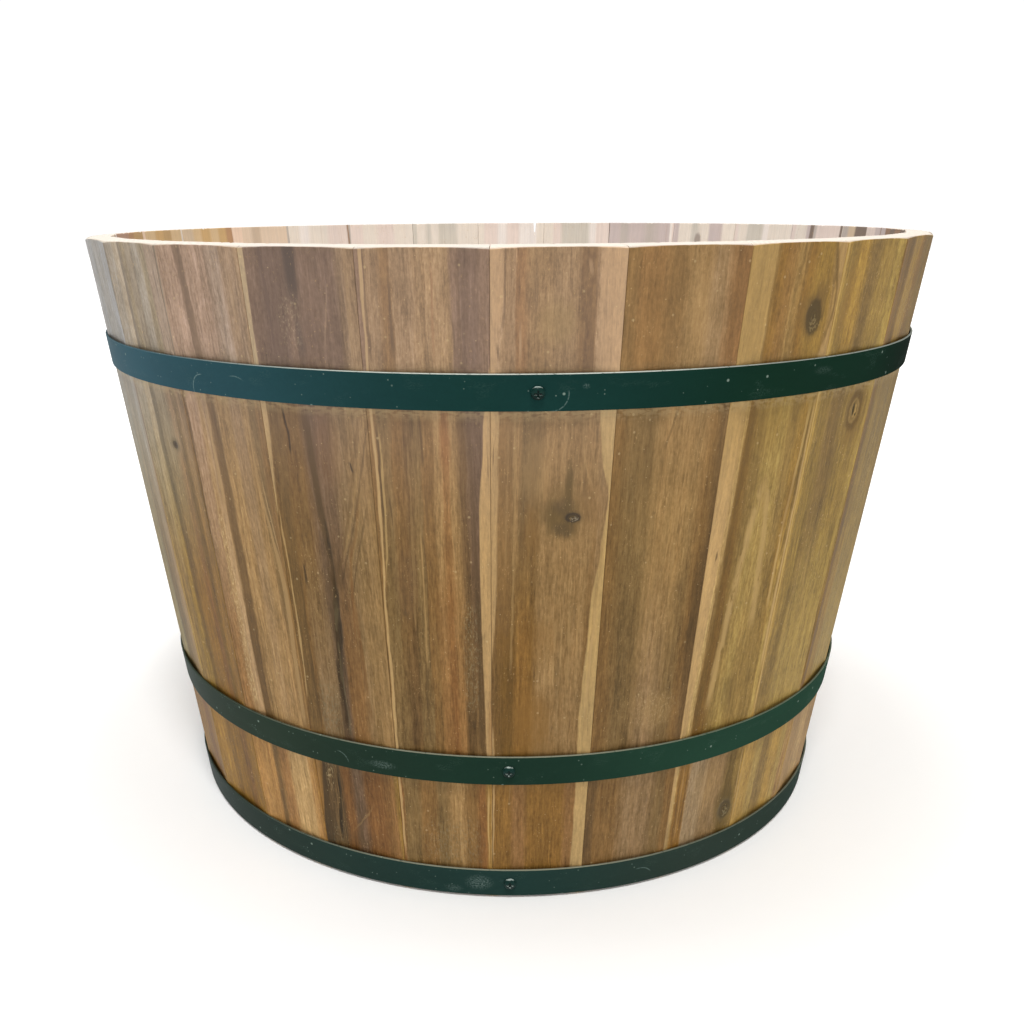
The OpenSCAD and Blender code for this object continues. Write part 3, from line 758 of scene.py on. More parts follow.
        B=[(-40, "rust"), (-25, "browng", 1.2), (-15, "brown"), (-9, "brown", 1.5), (-5, "browng"), (2, "tan", 4), (12, "brown", 4), (19, "rust", 4)],
        amt=1.25,
        regions=[R("sap", [(330, 32.5), (318, 30.5), (300, 28), (280, 27), (255, 24.6), (200, 24), (150, 24.3), (98, 24.6)], None,
                   z=(98, 330), a=0.95, soft=0.7),
                 R("rustl", [(150, 28), (135, 27), (98, 26.5)], None, z=(98, 146), a=0.55, soft=2.0),
                 R("goldl", 24, 30, z=(None, 84), a=0.6, soft=1.2),
                 R("ash", -12, 20, z=(22, 52), a=0.35, soft=8, speck=1),
                 R("ash", 14, 24, z=(128, 196), a=0.34, soft=3, speck=1),
                 R("mauvd", 15, 24, z=(196, 300), a=0.18, soft=3)],
        lines=[L("sapl", [(380, -29.6), (340, -29), (300, -28.7), (250, -27.6), (225, -27.7), (200, -28), (150, -27.3),
                          (100, -26.8), (50, -26.1), (22, -25.6)], 1.4, 0.72, soft=0.5),
               L("umber", [(380, -28), (322, -27.2)], 0.8, 0.45),
               L("umber", [(300, -27.4), (270, -26.2), (235, -26)], 1.2, 0.8),
               L("sapg", [(296, -26), (270, -25), (225, -25.4), (205, -27)], 0.9, 0.6),
               L("umber", [(262, -22.6), (232, -20.8)], 0.8, 0.7),
               L("umber", [(372, -16.3), (322, -15.8)], 1.3, 0.7),
               L("umber", [(301, -8.2), (285, -8.4)], 0.9, 0.75, fade=6), L("umber", [(301, -4.6), (288, -4.2), (270, -3.4)], 1.1, 0.8, fade=6),
               L("umber", [(270, -3.2), (225, -2.6)], 1.2, 0.4),
               L("red", [(378, 4.5), (322, 4)], 1.0, 0.3),
               L("umber", [(355, 13.0), (340, 14.2), (322, 14.8)], 1.0, 0.6),
               L("tanl", [(350, 11.8), (322, 12.8)], 2.0, 0.4),
               L("tanl", [(240, -6.8), (190, -6.2), (150, -6.8)], 0.9, 0.6),
               L("tanl", [(296, -11.5), (250, -11), (170, -12)], 1.2, 0.3, feather=0.4, broken=1),
               L("umber", [(238, -5.2), (190, -4.6), (150, -5.2)], 0.8, 0.5),
               L("umber", [(160, -6.8), (130, -7.5), (100, -6.8)], 1.6, 0.5, feather=0.4),
               L("umber", [(300, 20), (240, 21.5), (190, 22.2), (100, 21.8)], 2.0, 0.4, feather=0.8),
               L("umber", [(200, 22.8), (150, 23), (98, 22.8)], 2.6, 0.45, feather=0.5),
               L("sapl", [(80, 25.2), (22, 24.6)], 0.9, 0.65), L("sapl", [(80, 28), (22, 26.2)], 0.8, 0.6),
               L("rust", [(92, 29), (22, 27)], 1.0, 0.4),
               L("umber", [(285, 29.4), (262, 29.4)], 0.7, 0.6)],
        patches=[P("red", 8, 285, 4, 20, 0.4), P("rust", 5, 190, 7, 30, 0.3), P("umber", 18, 120, 1.6, 3, 0.8),
                 P("umber", -17, 188, 2.2, 2.2, 0.6), P("mauve", -16, 205, 8, 28, 0.25)]),
    1: dict(tone=0.90, light=(0.98, 0.96, 1.06), cool=(0.08, -0.02, 0.08),
        T=[(-40, "sapp"), (-20, "rustl", 2), (-14, "tan", 3), (-2, "tank", 6), (10, "brown", 3), (19, "sapp", 2.5)],
        M1=[(-40, "sap"), (-19.5, "tan", 1), (-16, "browng", 2), (-6, "tan", 6), (2, "tan", 8), (14, "tan", 5), (24, "tank")],
        M2=[(-40, "brown"), (-23, "amberd", 3), (-16, "amber", 3), (-6, "tan", 4), (4, "tan"), (12, "tan"), (20, "brown")],
        zm=(150, 262),
        B=[(-40, "amber"), (-16, "rustl", 3), (-8, "amber"), (6, "amber"), (14, "rustl")],
        regions=[R("sapp", None, [(380, -26.2), (365, -25.4), (350, -26.6), (335, -28.6), (322, -28.8), (300, -27)], z=(306, None), a=0.95, soft=0.8),
                 R("brown", [(380, -26), (350, -26), (300, -27)], [(380, -21), (322, -20)], z=(306, None), a=0.5, soft=1.6),
                 R("sap", None, [(318, -28), (300, -27), (280, -26.4), (230, -26), (205, -26.4), (185, -27.4), (165, -28.6), (150, -29.4),
                                 (135, -29), (118, -27.6), (98, -26.2)], z=(96, 312), a=0.96, soft=0.8),
                 R("brown", -26.8, -19.4, z=(165, 308), a=0.85, soft=1.2),
                 R("amberd", -27, -17.5, z=(98, 180), a=0.6, soft=2),
                 R("sapp", [(380, 20.4), (322, 21)], None, z=(309, None), a=0.9, soft=2.2),
                 R("sapg", [(318, 22), (300, 23), (284, 24.6), (270, 26.6), (262, 28.6), (256, 29.4), (245, 28.6), (232, 27.6), (220, 26.8),
                            (208, 24.8), (196, 23.4), (180, 23), (150, 21.2), (120, 20.2), (98, 20)], None, z=(96, 314), a=0.95, soft=0.9),
                 R("sapg", [(86, 20.4), (50, 20), (22, 19.4)], None, z=(None, 90), a=0.92, soft=1.0)],
        lines=[L("sapp", [(348, -17.2), (322, -17.2)], 1.2, 0.7), L("tanl", [(302, -18.6), (240, -18.2), (150, -18.4)], 1.4, 0.42, feather=0.35),
               L("tanl", [(300, -22), (210, -22.4)], 1.0, 0.25, feather=0.4),
               L("sapl", [(296, 26.5), (272, 28.6)], 1.0, 0.35, feather=0.3), L("tan", [(240, 28.6), (180, 25.4), (110, 23.6)], 1.4, 0.35, feather=0.4, broken=1),
               L("sapl", [(200, 26.4), (120, 23.2)], 1.2, 0.4, feather=0.3, broken=1),
               L("tanl", [(192, 8.6), (144, 8.4)], 1.0, 0.45, broken=1), L("tanl", [(186, 1.6), (136, 1.0)], 1.2, 0.35, broken=1),
               L("tanl", [(180, -3), (140, -3.6)], 1.0, 0.3, broken=1), L("tanl", [(300, 9), (282, 9.4)], 1.6, 0.25, feather=0.4),
               L("sapp", [(376, 14.4), (366, 16)], 1.4, 0.5, feather=0.4, fade=4),
               L("tanl", [(100, -17.6), (60, -17.4)], 0.8, 0.3),
               L("umber", [(380, -25), (350, -25.4), (336, -27)], 1.2, 0.5), L("umber", [(336, -28), (326, -27.6)], 1.4, 0.6, fade=4),
               L("umber", [(286, -29.3), (272, -29.2)], 0.6, 0.6, fade=4),
               L("umber", [(270, 24), (262, 27), (256, 29)], 1.0, 0.4),
               L("sapl", [(86, -26.8), (22, -26.4)], 0.9, 0.65), L("sapl", [(86, -29.6), (60, -28.6)], 0.8, 0.5),
               L("amberd", [(86, -28.2), (22, -27.2)], 1.2, 0.4),
               L("tanl", [(190, 5.2), (140, 4.6)], 1.3, 0.45, broken=1), L("tanl", [(196, 12.5), (140, 12.2)], 1.5, 0.4, broken=1),
               L("tanl", [(200, 17.5), (130, 16.8)], 1.1, 0.4, broken=1), L("brown", [(150, 9), (100, 9.5)], 1.6, 0.3),
               L("brown", [(300, -10), (240, -9)], 1.2, 0.25),
               L("olivk", [(278, 9.6), (266, 9.2), (250, 9.4)], 2.0, 0.55, soft=0.8, feather=0.7),
               L("tanl", [(292, 15), (275, 17), (262, 21), (250, 25)], 0.9, 0.4), L("tanl", [(292, 18), (280, 20), (268, 24)], 0.8, 0.35),
               L("brown", [(296, 12), (276, 15), (262, 19), (246, 23)], 1.0, 0.35), L("brown", [(240, 24), (215, 22.5), (190, 19)], 1.4, 0.3)],
        patches=[P("amber", -6, 122, 13, 26, 0.6), P("amber", -9, 238, 6, 22, 0.35), P("amber", -3, 172, 9, 18, 0.25),
                 P("olivl", 0, 345, 12, 14, 0.35), P("browng", 2, 300, 24, 9, 0.25), P("tanl", -8, 270, 9, 22, 0.35),
                 P("amber", 0, 90, 16, 30, 0.25), P("olivd", 6, 248, 15, 20, 0.55), P("olivk", 7, 243, 10, 12, 0.55), P("knot", 7, 238, 7.5, 5.5, 0.42), P("olivk", 0, 247, 8, 9, 0.35),
                 P("knot", 7, 251, 6.5, 6, 0.38), P("brown", 22, 250, 9, 16, 0.35), P("olivk", 9, 262, 2.3, 15, 0.7)],
        knots=[dict(u=11.8, z=244.6, ru=3.3, rz=2.2, ring="black", core="olivk", core2="black", core_a=0.8, crescent="greyw", halo=2.2,
                    halo_c="knot", halo_a=0.4, push=0.35, a=0.85)]),
    2: dict(tone=0.98, bc=(190, 154, 106), light=(0.93, 0.96, 1.06), cool=(0.03, -0.08, 0.03),
        T=[(-40, "brown"), (-26, "rustl"), (-12, "brown", 6), (0, "tan", 6), (12, "fawn", 5), (22, "rust", 6)],
        M1=[(-40, "brown"), (-24, "browng", 6), (-6, "tan", 8), (8, "tan", 8), (20, "brown", 6), (26, "brownd", 4)],
        M2=[(-40, "brown"), (-20, "browng", 8), (-4, "fawn", 8), (9, "browng", 8), (19, "brown", 6), (24, "brownd", 3)],
        B=[(-40, "brownd"), (-22, "brown"), (-6, "fawn", 8), (14, "browng", 6), (22, "brown")],
        amt=0.9,
        regions=[R("umber", 23.5, None, z=(150, 215), a=0.4, soft=4, zsoft=40)],
        lines=[L("umber", [(301, 2.5), (290, 0), (279, -3)], 1.2, 0.5, fade=4), L("umber", [(301, 5), (292, 3)], 0.9, 0.35, fade=4),
               L("umber", [(190, 25), (150, 23.8)], 1.4, 0.4), L("tanl", [(280, -6), (100, -4)], 3.0, 0.2, broken=1),
               L("tanl", [(230, -1), (120, 0)], 1.4, 0.3, broken=1, feather=0.3), L("tanl", [(250, 9), (140, 10)], 1.2, 0.28, broken=1, feather=0.3),
               L("tanl", [(200, 14), (120, 14.6)], 1.2, 0.25, broken=1, feather=0.3), L("umber", [(190, 25.5), (160, 24.6)], 2.4, 0.35, feather=0.8),
               L("tanl", [(260, 4), (110, 5)], 2.4, 0.18, broken=1), L("umber", [(301, -9), (293, -8)], 0.8, 0.4, fade=4)],
        patches=[P("bone", 9, 124, 17, 17, 0.34, speck=1), P("umber", -27, 38, 4, 16, 0.45), P("tanl", 10, 122, 14, 15, 0.3), P("bone", -1, 134, 3, 3, 0.5, speck=1),
                 P("amber", -18, 330, 12, 40, 0.25), P("tanl", 8, 345, 9, 30, 0.25), P("umber", -5, 244, 1.4, 1.4, 0.4),
                 P("tanl", -8, 225, 9, 20, 0.3, speck=1)]),
    3: dict(tone=1.04, bc=(190, 154, 106), light=(0.85, 1.06, 1.02), cool=(-0.20, -0.03, -0.07),
        T=[(-40, "sap"), (-14, "amber", 2), (-8, "rustl", 5), (-1, "tan", 6), (7, "amber", 6), (13, "gold", 5), (24, "tan")],
        M1=[(-40, "sapg"), (-17, "amberd", 2), (-11, "olive", 5), (-2, "olivl", 6), (7, "olivl", 6), (13, "olive", 4), (20, "gold", 4), (26, "olive")],
        M2=[(-40, "sapg"), (-20, "amberd", 2), (-11, "olive", 5), (-3, "olivl", 6), (4, "olive", 4), (16, "olive"), (24, "olivl", 2)],
        B=[(-40, "sapg"), (-24, "amber", 1.5), (-15, "pinkt", 2), (-2, "fawn", 6), (8, "fawn"), (14, "olivd", 6), (22, "olive")],
        bleach=0.8,
        regions=[R("sap", None, [(380, -15.8), (322, -16.4), (308, -17.5)], z=(309, None), a=0.96, soft=0.9),
                 R("sap", None, [(312, -18.4), (300, -18.9), (250, -19.6), (200, -21), (150, -22.6), (98, -23.8)], z=(98, 312), a=0.92, soft=1.4),
                 R("amberd", -20, -9, z=(100, 300), a=0.35, soft=4),
                 R("sap", None, [(84, -25.4), (22, -24.6)], z=(None, 90), a=0.9, soft=1.0),
                 R("sapp", [(380, 26), (366, 28.6), (352, 30.6), (338, 29), (326, 26.2), (312, 24)], [(380, 33), (312, 33)], z=(311, None), a=0.85, soft=1.4)],
        lines=[L("umber", [(380, 24.5), (366, 27), (352, 29.6), (340, 28.4), (326, 25.2)], 1.4, 0.5, feather=0.3),
               L("amberd", [(380, -14.6), (310, -15)], 2.2, 0.6),
               L("sapg", [(300, 27.6), (272, 26.6), (230, 24), (170, 23.4)], 1.5, 0.75), L("sapl", [(304, 30.6), (262, 30), (200, 28.6), (130, 27.4)], 1.6, 0.7),
               L("umber", [(300, 29), (262, 28), (200, 26)], 1.0, 0.5),
               L("amberd", [(262, 24.6), (215, 23.8)], 3.2, 0.4),
               L("sapg", [(257, 3.2), (250, 1.4), (230, -1), (200, -4.4), (150, -8.4), (112, -10.5)], 4.2, 0.72, soft=0.8, feather=0.9, broken=0.9),
               L("sapg", [(257, 5), (244, 7.4), (222, 9.6), (196, 11.4), (160, 13.2)], 3.6, 0.6, soft=0.8, feather=0.9, broken=0.9),
               L("tanl", [(262, 3.6), (250, 3.2), (236, 4)], 4.6, 0.3, soft=0.9, feather=0.9, fade=8),
               L("sapp", [(379, -29), (371, -24), (370, -18)], 0.8, 0.0),
               L("umber", [(322, 9), (338, 8)], 2.0, 0.0),
               L("amberd", [(250, 6), (200, 2), (150, -3)], 1.6, 0.18, feather=0.6),
               L("olivk", [(300, -14), (200, -16), (100, -17)], 4.0, 0.35, soft=0.7),
               L("umber", [(84, -22), (22, -21)], 1.2, 0.4), L("sap", [(84, -20), (22, -19)], 1.0, 0.4), L("umber", [(84, -17), (22, -16.4)], 1.2, 0.4),
               L("sapl", [(84, 26), (22, 25.4)], 1.0, 0.5),
               L("olivk", [(80, 18), (60, 17), (30, 18)], 2.0, 0.35, feather=1.4), L("olivk", [(60, 21), (30, 22)], 1.6, 0.4, feather=1.4)],
        patches=[P("brownd", 12, 346, 9, 10, 0.45), P("umber", 20, 352, 5, 12, 0.4, streaky=1), P("bone", -24, 372, 5, 1.6, 0.4, speck=1), P("umber", -23, 215, 1.0, 3.0, 0.75), P("olivd", 4, 122, 7, 18, 0.4), P("tanl", 0, 60, 14, 22, 0.2),
                 P("olivk", 17, 42, 8, 12, 0.45, streaky=1), P("gold", 0, 290, 12, 24, 0.3), P("umber", 12, 30, 9, 8, 0.35, streaky=1)],
        knots=[dict(u=17.2, z=342.5, ru=4.3, rz=7.6, ring="black", core="knot", core2="black", core_a=0.95, halo=2.0, halo_c="umber",
                    halo_a=0.6, streak=(0.2, 3.6), streak_w=1.1, streak_c="brownd", streak_a=0.6, push=0.5, crescent="greyt", tilt=-0.40),
               dict(u=19.5, z=36, ru=3.8, rz=5.4, ring="knot", core="olivd", core2="black", core_a=0.75, halo=2.0, halo_c="taupe",
                    halo_a=0.5, streak=(-2.6, 3), streak_w=1.1, streak_c="olivk", streak_a=0.4, push=0.6, a=0.55, crescent="ash")]),
    4: dict(tone=1.10, bc=(190, 154, 106), light=(0.99, 1.02, 1.08), cool=(-0.26, -0.28, 0.0),
        T=[(-40, "goldl"), (-28, "olive", 3), (-20, "gold", 5), (-6, "browng", 6), (6, "olive", 6), (22, "olivl", 5), (31, "amberd", 1)],
        M1=[(-40, "goldl"), (-27, "olive", 2), (-14, "browng", 6), (4, "olive", 6), (16, "olive", 6), (24, "olivl", 3), (29.5, "amberd", 1)],
        M2=[(-40, "goldl"), (-26, "olive", 2), (-12, "olivl", 6), (0, "olivl", 6), (14, "olivl"), (21, "olivl", 3), (26.5, "amberd", 1)],
        flecks=1.5,
        B=[(-40, "goldl"), (-24, "goldl", 2), (-14, "olivl", 4), (-5, "olive", 5), (4, "goldl", 5), (15, "olivl", 5), (22, "tan")],
        bleach=0.5, amt=0.9,
        lines=[L("sapl", [(380, -31), (330, -30.6), (300, -30), (262, -29.4), (200, -28.6), (100, -27)], 1.8, 0.65),
               L("umber", [(300, -28.6), (240, -27.4)], 1.0, 0.35),
               L("tanl", [(290, 27), (100, 24.8)], 1.6, 0.35), L("sapg", [(80, -26), (22, -25)], 1.4, 0.5),
               L("tanl", [(215, -1), (195, -2), (178, 1), (160, 4)], 2.2, 0.45, feather=0.6, broken=0.8),
               L("tanl", [(300, -14.5), (262, -14)], 1.2, 0.3, feather=0.3), L("brown", [(300, -6), (255, -6)], 3.0, 0.3, feather=0.6),
               L("tanl", [(175, 6), (150, 9)], 1.6, 0.35, feather=0.6), L("brownd", [(84, -3), (22, -5)], 2.4, 0.35, feather=0.6), L("tanl", [(160, -10), (100, -8)], 1.8, 0.25, broken=1)],
        patches=[P("tanl", 0, 150, 20, 44, 0.3, speck=1), P("tanl", 8, 350, 16, 26, 0.25, speck=1), P("amber", -22, 350, 6, 26, 0.4)],
        knots=[dict(u=15.0, z=285.5, ru=6.6, rz=9.4, ring="umber", core="sap", core2="olivd", core_a=0.92, halo=1.9, halo_c="brownd",
                    halo_a=0.5, streak=(-2.5, 3), streak_w=1.4, streak_c="amberd", streak_a=0.4, push=0.5, a=0.55, tilt=0.12),
               dict(u=14.2, z=286, ru=1.1, rz=3.0, ring="knot", core="knot", core2="knot", halo=2.4, halo_c="umber", halo_a=0.4, push=0.0, a=0.9),
               dict(u=17.4, z=282.6, ru=0.8, rz=0.9, ring="knot", core="knot", core2="knot", halo=1.8, halo_c="umber", halo_a=0.3, push=0.0, a=0.2)]),
    5: dict(tone=1.12, bc=(190, 154, 106), light=(0.83, 0.90, 1.04), cool=(-0.26, -0.22, -0.05),
        T=[(-40, "amber"), (-27, "amberd", 4), (-12, "gold", 6), (4, "amber", 6), (16, "olive", 5)],
        M1=[(-40, "gold"), (-29, "amberd", 2), (-21, "olive", 4), (-10, "olive", 6), (8, "olive", 6)],
        M2=[(-40, "goldl"), (-28, "amberd", 2), (-21, "gold", 4), (-8, "olivl", 6), (10, "olivl", 6)],
        flecks=1.4,
        B=[(-40, "gold"), (-24, "tan"), (-4, "tanl", 6), (12, "tan")],
        bleach=0.5,
        regions=[R("brownd", 9, 34, z=(305, None), a=0.5, soft=8)],
        patches=[P("bone", 0, 340, 24, 18, 0.42, speck=1), P("bone", 8, 240, 18, 60, 0.32, speck=1), P("bone", 4, 130, 18, 50, 0.25, speck=1)]),
    6: dict(tone=1.10, bc=(190, 154, 106), light=(0.76, 1.14, 1.3), cool=(0.06, 0.18, 0.22),
        T=[(-40, "olive"), (-24, "browng", 5), (-8, "olive", 6), (14, "browng", 5)], M1=[(-40, "olivl"), (-12, "olive", 6), (14, "browng", 5)],
        M2=[(-40, "olivl"), (-12, "greyt", 6), (14, "browng", 5)], B=[(-40, "browng"), (-8, "fawn", 6), (14, "browng", 5)], bleach=0.5,
        patches=[P("bone", 6, 260, 18, 70, 0.28, speck=1), P("bone", -12, 340, 16, 24, 0.42, speck=1)]),
}

# the inside of the back wall, seen over the rim; the pale tones of the middle staves are partly painted light
INSIDE = {
    7: [(-40, "idark"), (-20, "ibrown", 3), (-6, "idark", 2), (6, "ibrown"), (18, "imauve")],
    8: [(-40, "ibrown"), (-30, "imauve", 2), (-22, "ipink", 3), (-9, "idark", 1.2), (9, "itan", 2), (20, "igrey", 3), (30, "icream", 2)],
    9: [(-40, "idark"), (-28, "ipink", 1), (0, "igrey", 2), (3, "idark", 1.5), (8, "imauve", 1.5), (12, "icream", 2), (26, "ipink")],
    10: [(-40, "imauve"), (-30, "icream", 2), (-6, "iwhite", 2), (0, "iolive", 3), (17, "icream", 2), (27, "ipink")],
    11: [(-40, "icream"), (-18, "imauve", 3), (-5, "icream", 2), (6, "iolive", 3), (12, "icream", 3), (25, "imauve")],
    12: [(-40, "ipink"), (-29, "iwhite", 1), (-27, "imauve", 1), (-14, "igrey", 8), (-4, "imauve", 6), (12, "igrey", 4), (20, "imauve")],
    13: [(-40, "idark"), (-30.2, "ipink", 0.6), (-18, "iwhite", 2), (-12, "iolive", 3), (14, "ipink", 3), (22, "icream")],
    14: [(-40, "icream"), (-24, "iwhite", 2), (-8, "ipink", 3), (4, "iwhite", 3), (12, "ipink", 3), (25, "icream")],
    15: [(-40, "icream"), (-10, "iolive", 4), (7, "icream", 3), (14, "iolive", 2), (18, "icream", 3), (27, "iolive")],
    16: [(-40, "igrey"), (-30.4, "icream", 0.6), (-12, "ipink", 4), (4, "icream", 5), (18, "ipink"), (29.5, "igrey", 0.8)],
    17: [(-40, "icream"), (-30, "ibrown", 1), (-28.5, "ipink", 1), (-8, "icream", 4), (10, "iwhite", 5), (20, "icream", 3)],
    18: [(-40, "igrey"), (-29, "ifawn", 1.2), (1, "itand", 2.5), (10, "ifawn", 2), (20, "ipeach", 2)],
    19: [(-40, "ioak"), (-23, "igold", 3), (-13, "igoldl", 2.5), (-3, "igold", 3), (8, "igoldl", 3), (18, "itan", 3)],
    20: [(-40, "icream"), (-28, "igoldl", 1), (-12, "ioakl", 3), (0, "igold", 3), (12, "igoldl", 3), (27, "ipeach", 1.5)],
    21: [(-40, "ioakl"), (-8, "ioak", 3), (4, "imocha", 3)],
}


def plain_inside(i):
    """The inner colours of a front stave: a few pale stripes of its own."""
    rnd = random.Random(400 + i * 17)
    tones = rnd.sample(["itan", "icream", "igrey", "iolive", "ipink", "imauve", "ifawn", "itand"], 5)
    u, out = -36.0, [(-40, tones[0])]
    for c in tones[1:]:
        u += rnd.uniform(8, 20)
        if u > 28:
            break
        out.append((u, c, rnd.uniform(2, 7)))
    return out


def plain_look(i):
    """A stave of no special marks: broad stripes in a few tones that go together."""
    rnd = random.Random(900 + i * 13)
    sets = [
        ["brown", "tan", "rustl", "tan", "fawn"], ["olive", "gold", "olivl", "browng", "amber"],
        ["fawn", "tank", "mauve", "fawn", "tan"], ["amber", "rustl", "peach", "brown", "gold"],
        ["browng", "olive", "tan", "olivd", "olivl"], ["pinkt", "fawn", "tank", "mauve", "tan"],
    ]
    tones = sets[i % len(sets)]
    def row(shift):
        u, out = -40.0, [(-40, tones[0])]
        k = 1
        while True:
            u += rnd.uniform(5, 15)
            if u > 34 or len(out) > 7:
                break
            out.append((u + shift, tones[k % len(tones)], rnd.uniform(1.5, 6)))
            k += 1
        return out
    base = row(0)
    warm = {"fawn": "tan", "tank": "tan", "tan": "rustl", "mauve": "rust", "pinkt": "peach", "olivl": "gold"}
    low = [(b[0], warm.get(b[1], b[1])) + b[2:] for b in base]
    look = dict(T=base, M1=base, M2=low, B=low, lines=[], regions=[], patches=[], drift=1.6, wave=1.1)
    side = rnd.choice([-1, 1])
    if rnd.random() < 0.6:
        a, b = rnd.uniform(18, 27), rnd.uniform(20, 27)
        c, d = rnd.uniform(18, 26), rnd.uniform(18, 26)
        pts = [(380, side * a), (270, side * b), (160, side * c), (60, side * d), (0, side * (d - 1))]
        look["regions"].append(R(rnd.choice(["sap", "sapg", "sapp"]), pts if side > 0 else None, pts if side < 0 else None, a=0.92, soft=0.9))
    for k in range(rnd.randint(2, 4)):
        u0 = rnd.uniform(-20, 20)
        z1 = rnd.uniform(150, 380)
        z0 = max(z1 - rnd.uniform(80, 240), 1)
        zm = (z0 + z1) / 2
        look["lines"].append(L(rnd.choice(["umber", "sapl", "brownd", "tanl", "mauvd"]),
                               [(z1, u0), (zm, u0 + rnd.uniform(-3, 3)), (z0, u0 + rnd.uniform(-4, 4))],
                               rnd.uniform(0.9, 2.4), rnd.uniform(0.35, 0.7), feather=rnd.uniform(0.1, 0.6)))
    if rnd.random() < 0.55:
        look["lines"].append(L("black", [(rnd.uniform(250, 370), -6), (200, -3), (rnd.uniform(40, 120), -5)],
                               rnd.uniform(1.2, 2.6), 0.6, feather=0.7, deep=0.15))
    if rnd.random() < 0.45:
        look["knots"] = [dict(u=rnd.uniform(-15, 15), z=rnd.uniform(120, 290), ru=rnd.uniform(3, 5.5), rz=rnd.uniform(4, 7.5),
                              ring="knot", core=rnd.choice(["brown", "umber"]), core2="black", halo=2.6, halo_c="browng",
                              halo_a=0.55, streak=(-3, 4), streak_w=0.9, streak_c="brownd", streak_a=0.4, push=0.5,
                              tilt=rnd.uniform(-0.3, 0.3))]
    return look


# ---------------------------------------------------------------- staves
def rounded(d, r):
    """Moves points that lie on a box's faces onto a box with rounded edges. d: distances in from the faces, n x 3."""
    e = np.maximum(r - d, 0.0)
    n = np.linalg.norm(e, axis=1)
    many = (e > 1e-9).sum(1) > 1
    k = np.where(many & (n > r), r / np.maximum(n, 1e-9), 1.0)
    out = d.copy()
    m = (e > 1e-9) & many[:, None]
    out[m] = (r - e * k[:, None])[m]
    return out


def lattice(nu, nv, nw):
    idx = -np.ones((nu, nv, nw), int)
    surf = np.zeros((nu, nv, nw), bool)
    surf[0], surf[-1], surf[:, 0], surf[:, -1], surf[:, :, 0], surf[:, :, -1] = (True,) * 6
    idx[surf] = np.arange(surf.sum())
    where = np.argwhere(surf)

    def sheet(g, flip):
        a, b, c, d = g[:-1, :-1], g[1:, :-1], g[1:, 1:], g[:-1, 1:]
        q = np.stack([a, b, c, d], -1).reshape(-1, 4)
        return q[:, ::-1] if flip else q

    outer = sheet(idx[:, :, 0], False)
    inner = sheet(idx[:, :, -1], True)
    left = sheet(idx[0], False)
    right = sheet(idx[-1], True)
    foot = sheet(idx[:, 0].T, False)
    top = sheet(idx[:, -1].T, True)
    quads = np.concatenate([outer, inner, left, right, foot, top])
    ends = np.zeros(len(quads), int)
    ends[-len(top) - len(foot):] = 1
    return where, quads, ends


def fbm(pts, seed, octaves=3):
    out = np.zeros(len(pts))
    o = Vector((seed * 3.7, seed * 1.9, seed * 5.3))
    for i, p in enumerate(pts):
        out[i] = noise.fractal(Vector(p) + o, 0.9, 2.1, octaves)
    return out


def mesh_object(name, verts_mm, faces, materials, slots=None, smooth=None, sharp=None, attrs=None, turn=0.0):
    me = bpy.data.meshes.new(name)
    v = np.asarray(verts_mm, float)
    if turn:
        c, s = math.cos(turn), math.sin(turn)
        v = np.stack([v[:, 0] * c - v[:, 1] * s, v[:, 0] * s + v[:, 1] * c, v[:, 2]], 1)
    me.from_pydata((v * 0.001).tolist(), [], [list(map(int, f)) for f in faces])
    for m in materials:
        me.materials.append(m)
    if slots is not None:
        me.polygons.foreach_set("material_index", np.asarray(slots, np.int32))
    me.polygons.foreach_set("use_smooth", np.ones(len(me.polygons), bool) if smooth is None else smooth)
    for k, a in (attrs or {}).items():
        at = me.attributes.new(k, "FLOAT_VECTOR", "POINT")
        at.data.foreach_set("vector", np.asarray(a, np.float32).ravel())
    me.update()
    ob = bpy.data.objects.new(name, me)
    SCENE.collection.objects.link(ob)
    return ob


def hoop_rub(z):
    out = np.zeros_like(z)
    for hz in HOOPS.values():
        for side in (-1, 1):
            e = hz + side * (HOOP_W / 2 * math.cos(CORNER_LEAN) + (0.5 if side > 0 else 1.3))
            out = np.maximum(out, (0.3 if side > 0 else 1.0) * np.exp(-((z - e) / 0.8) ** 2))
    return out


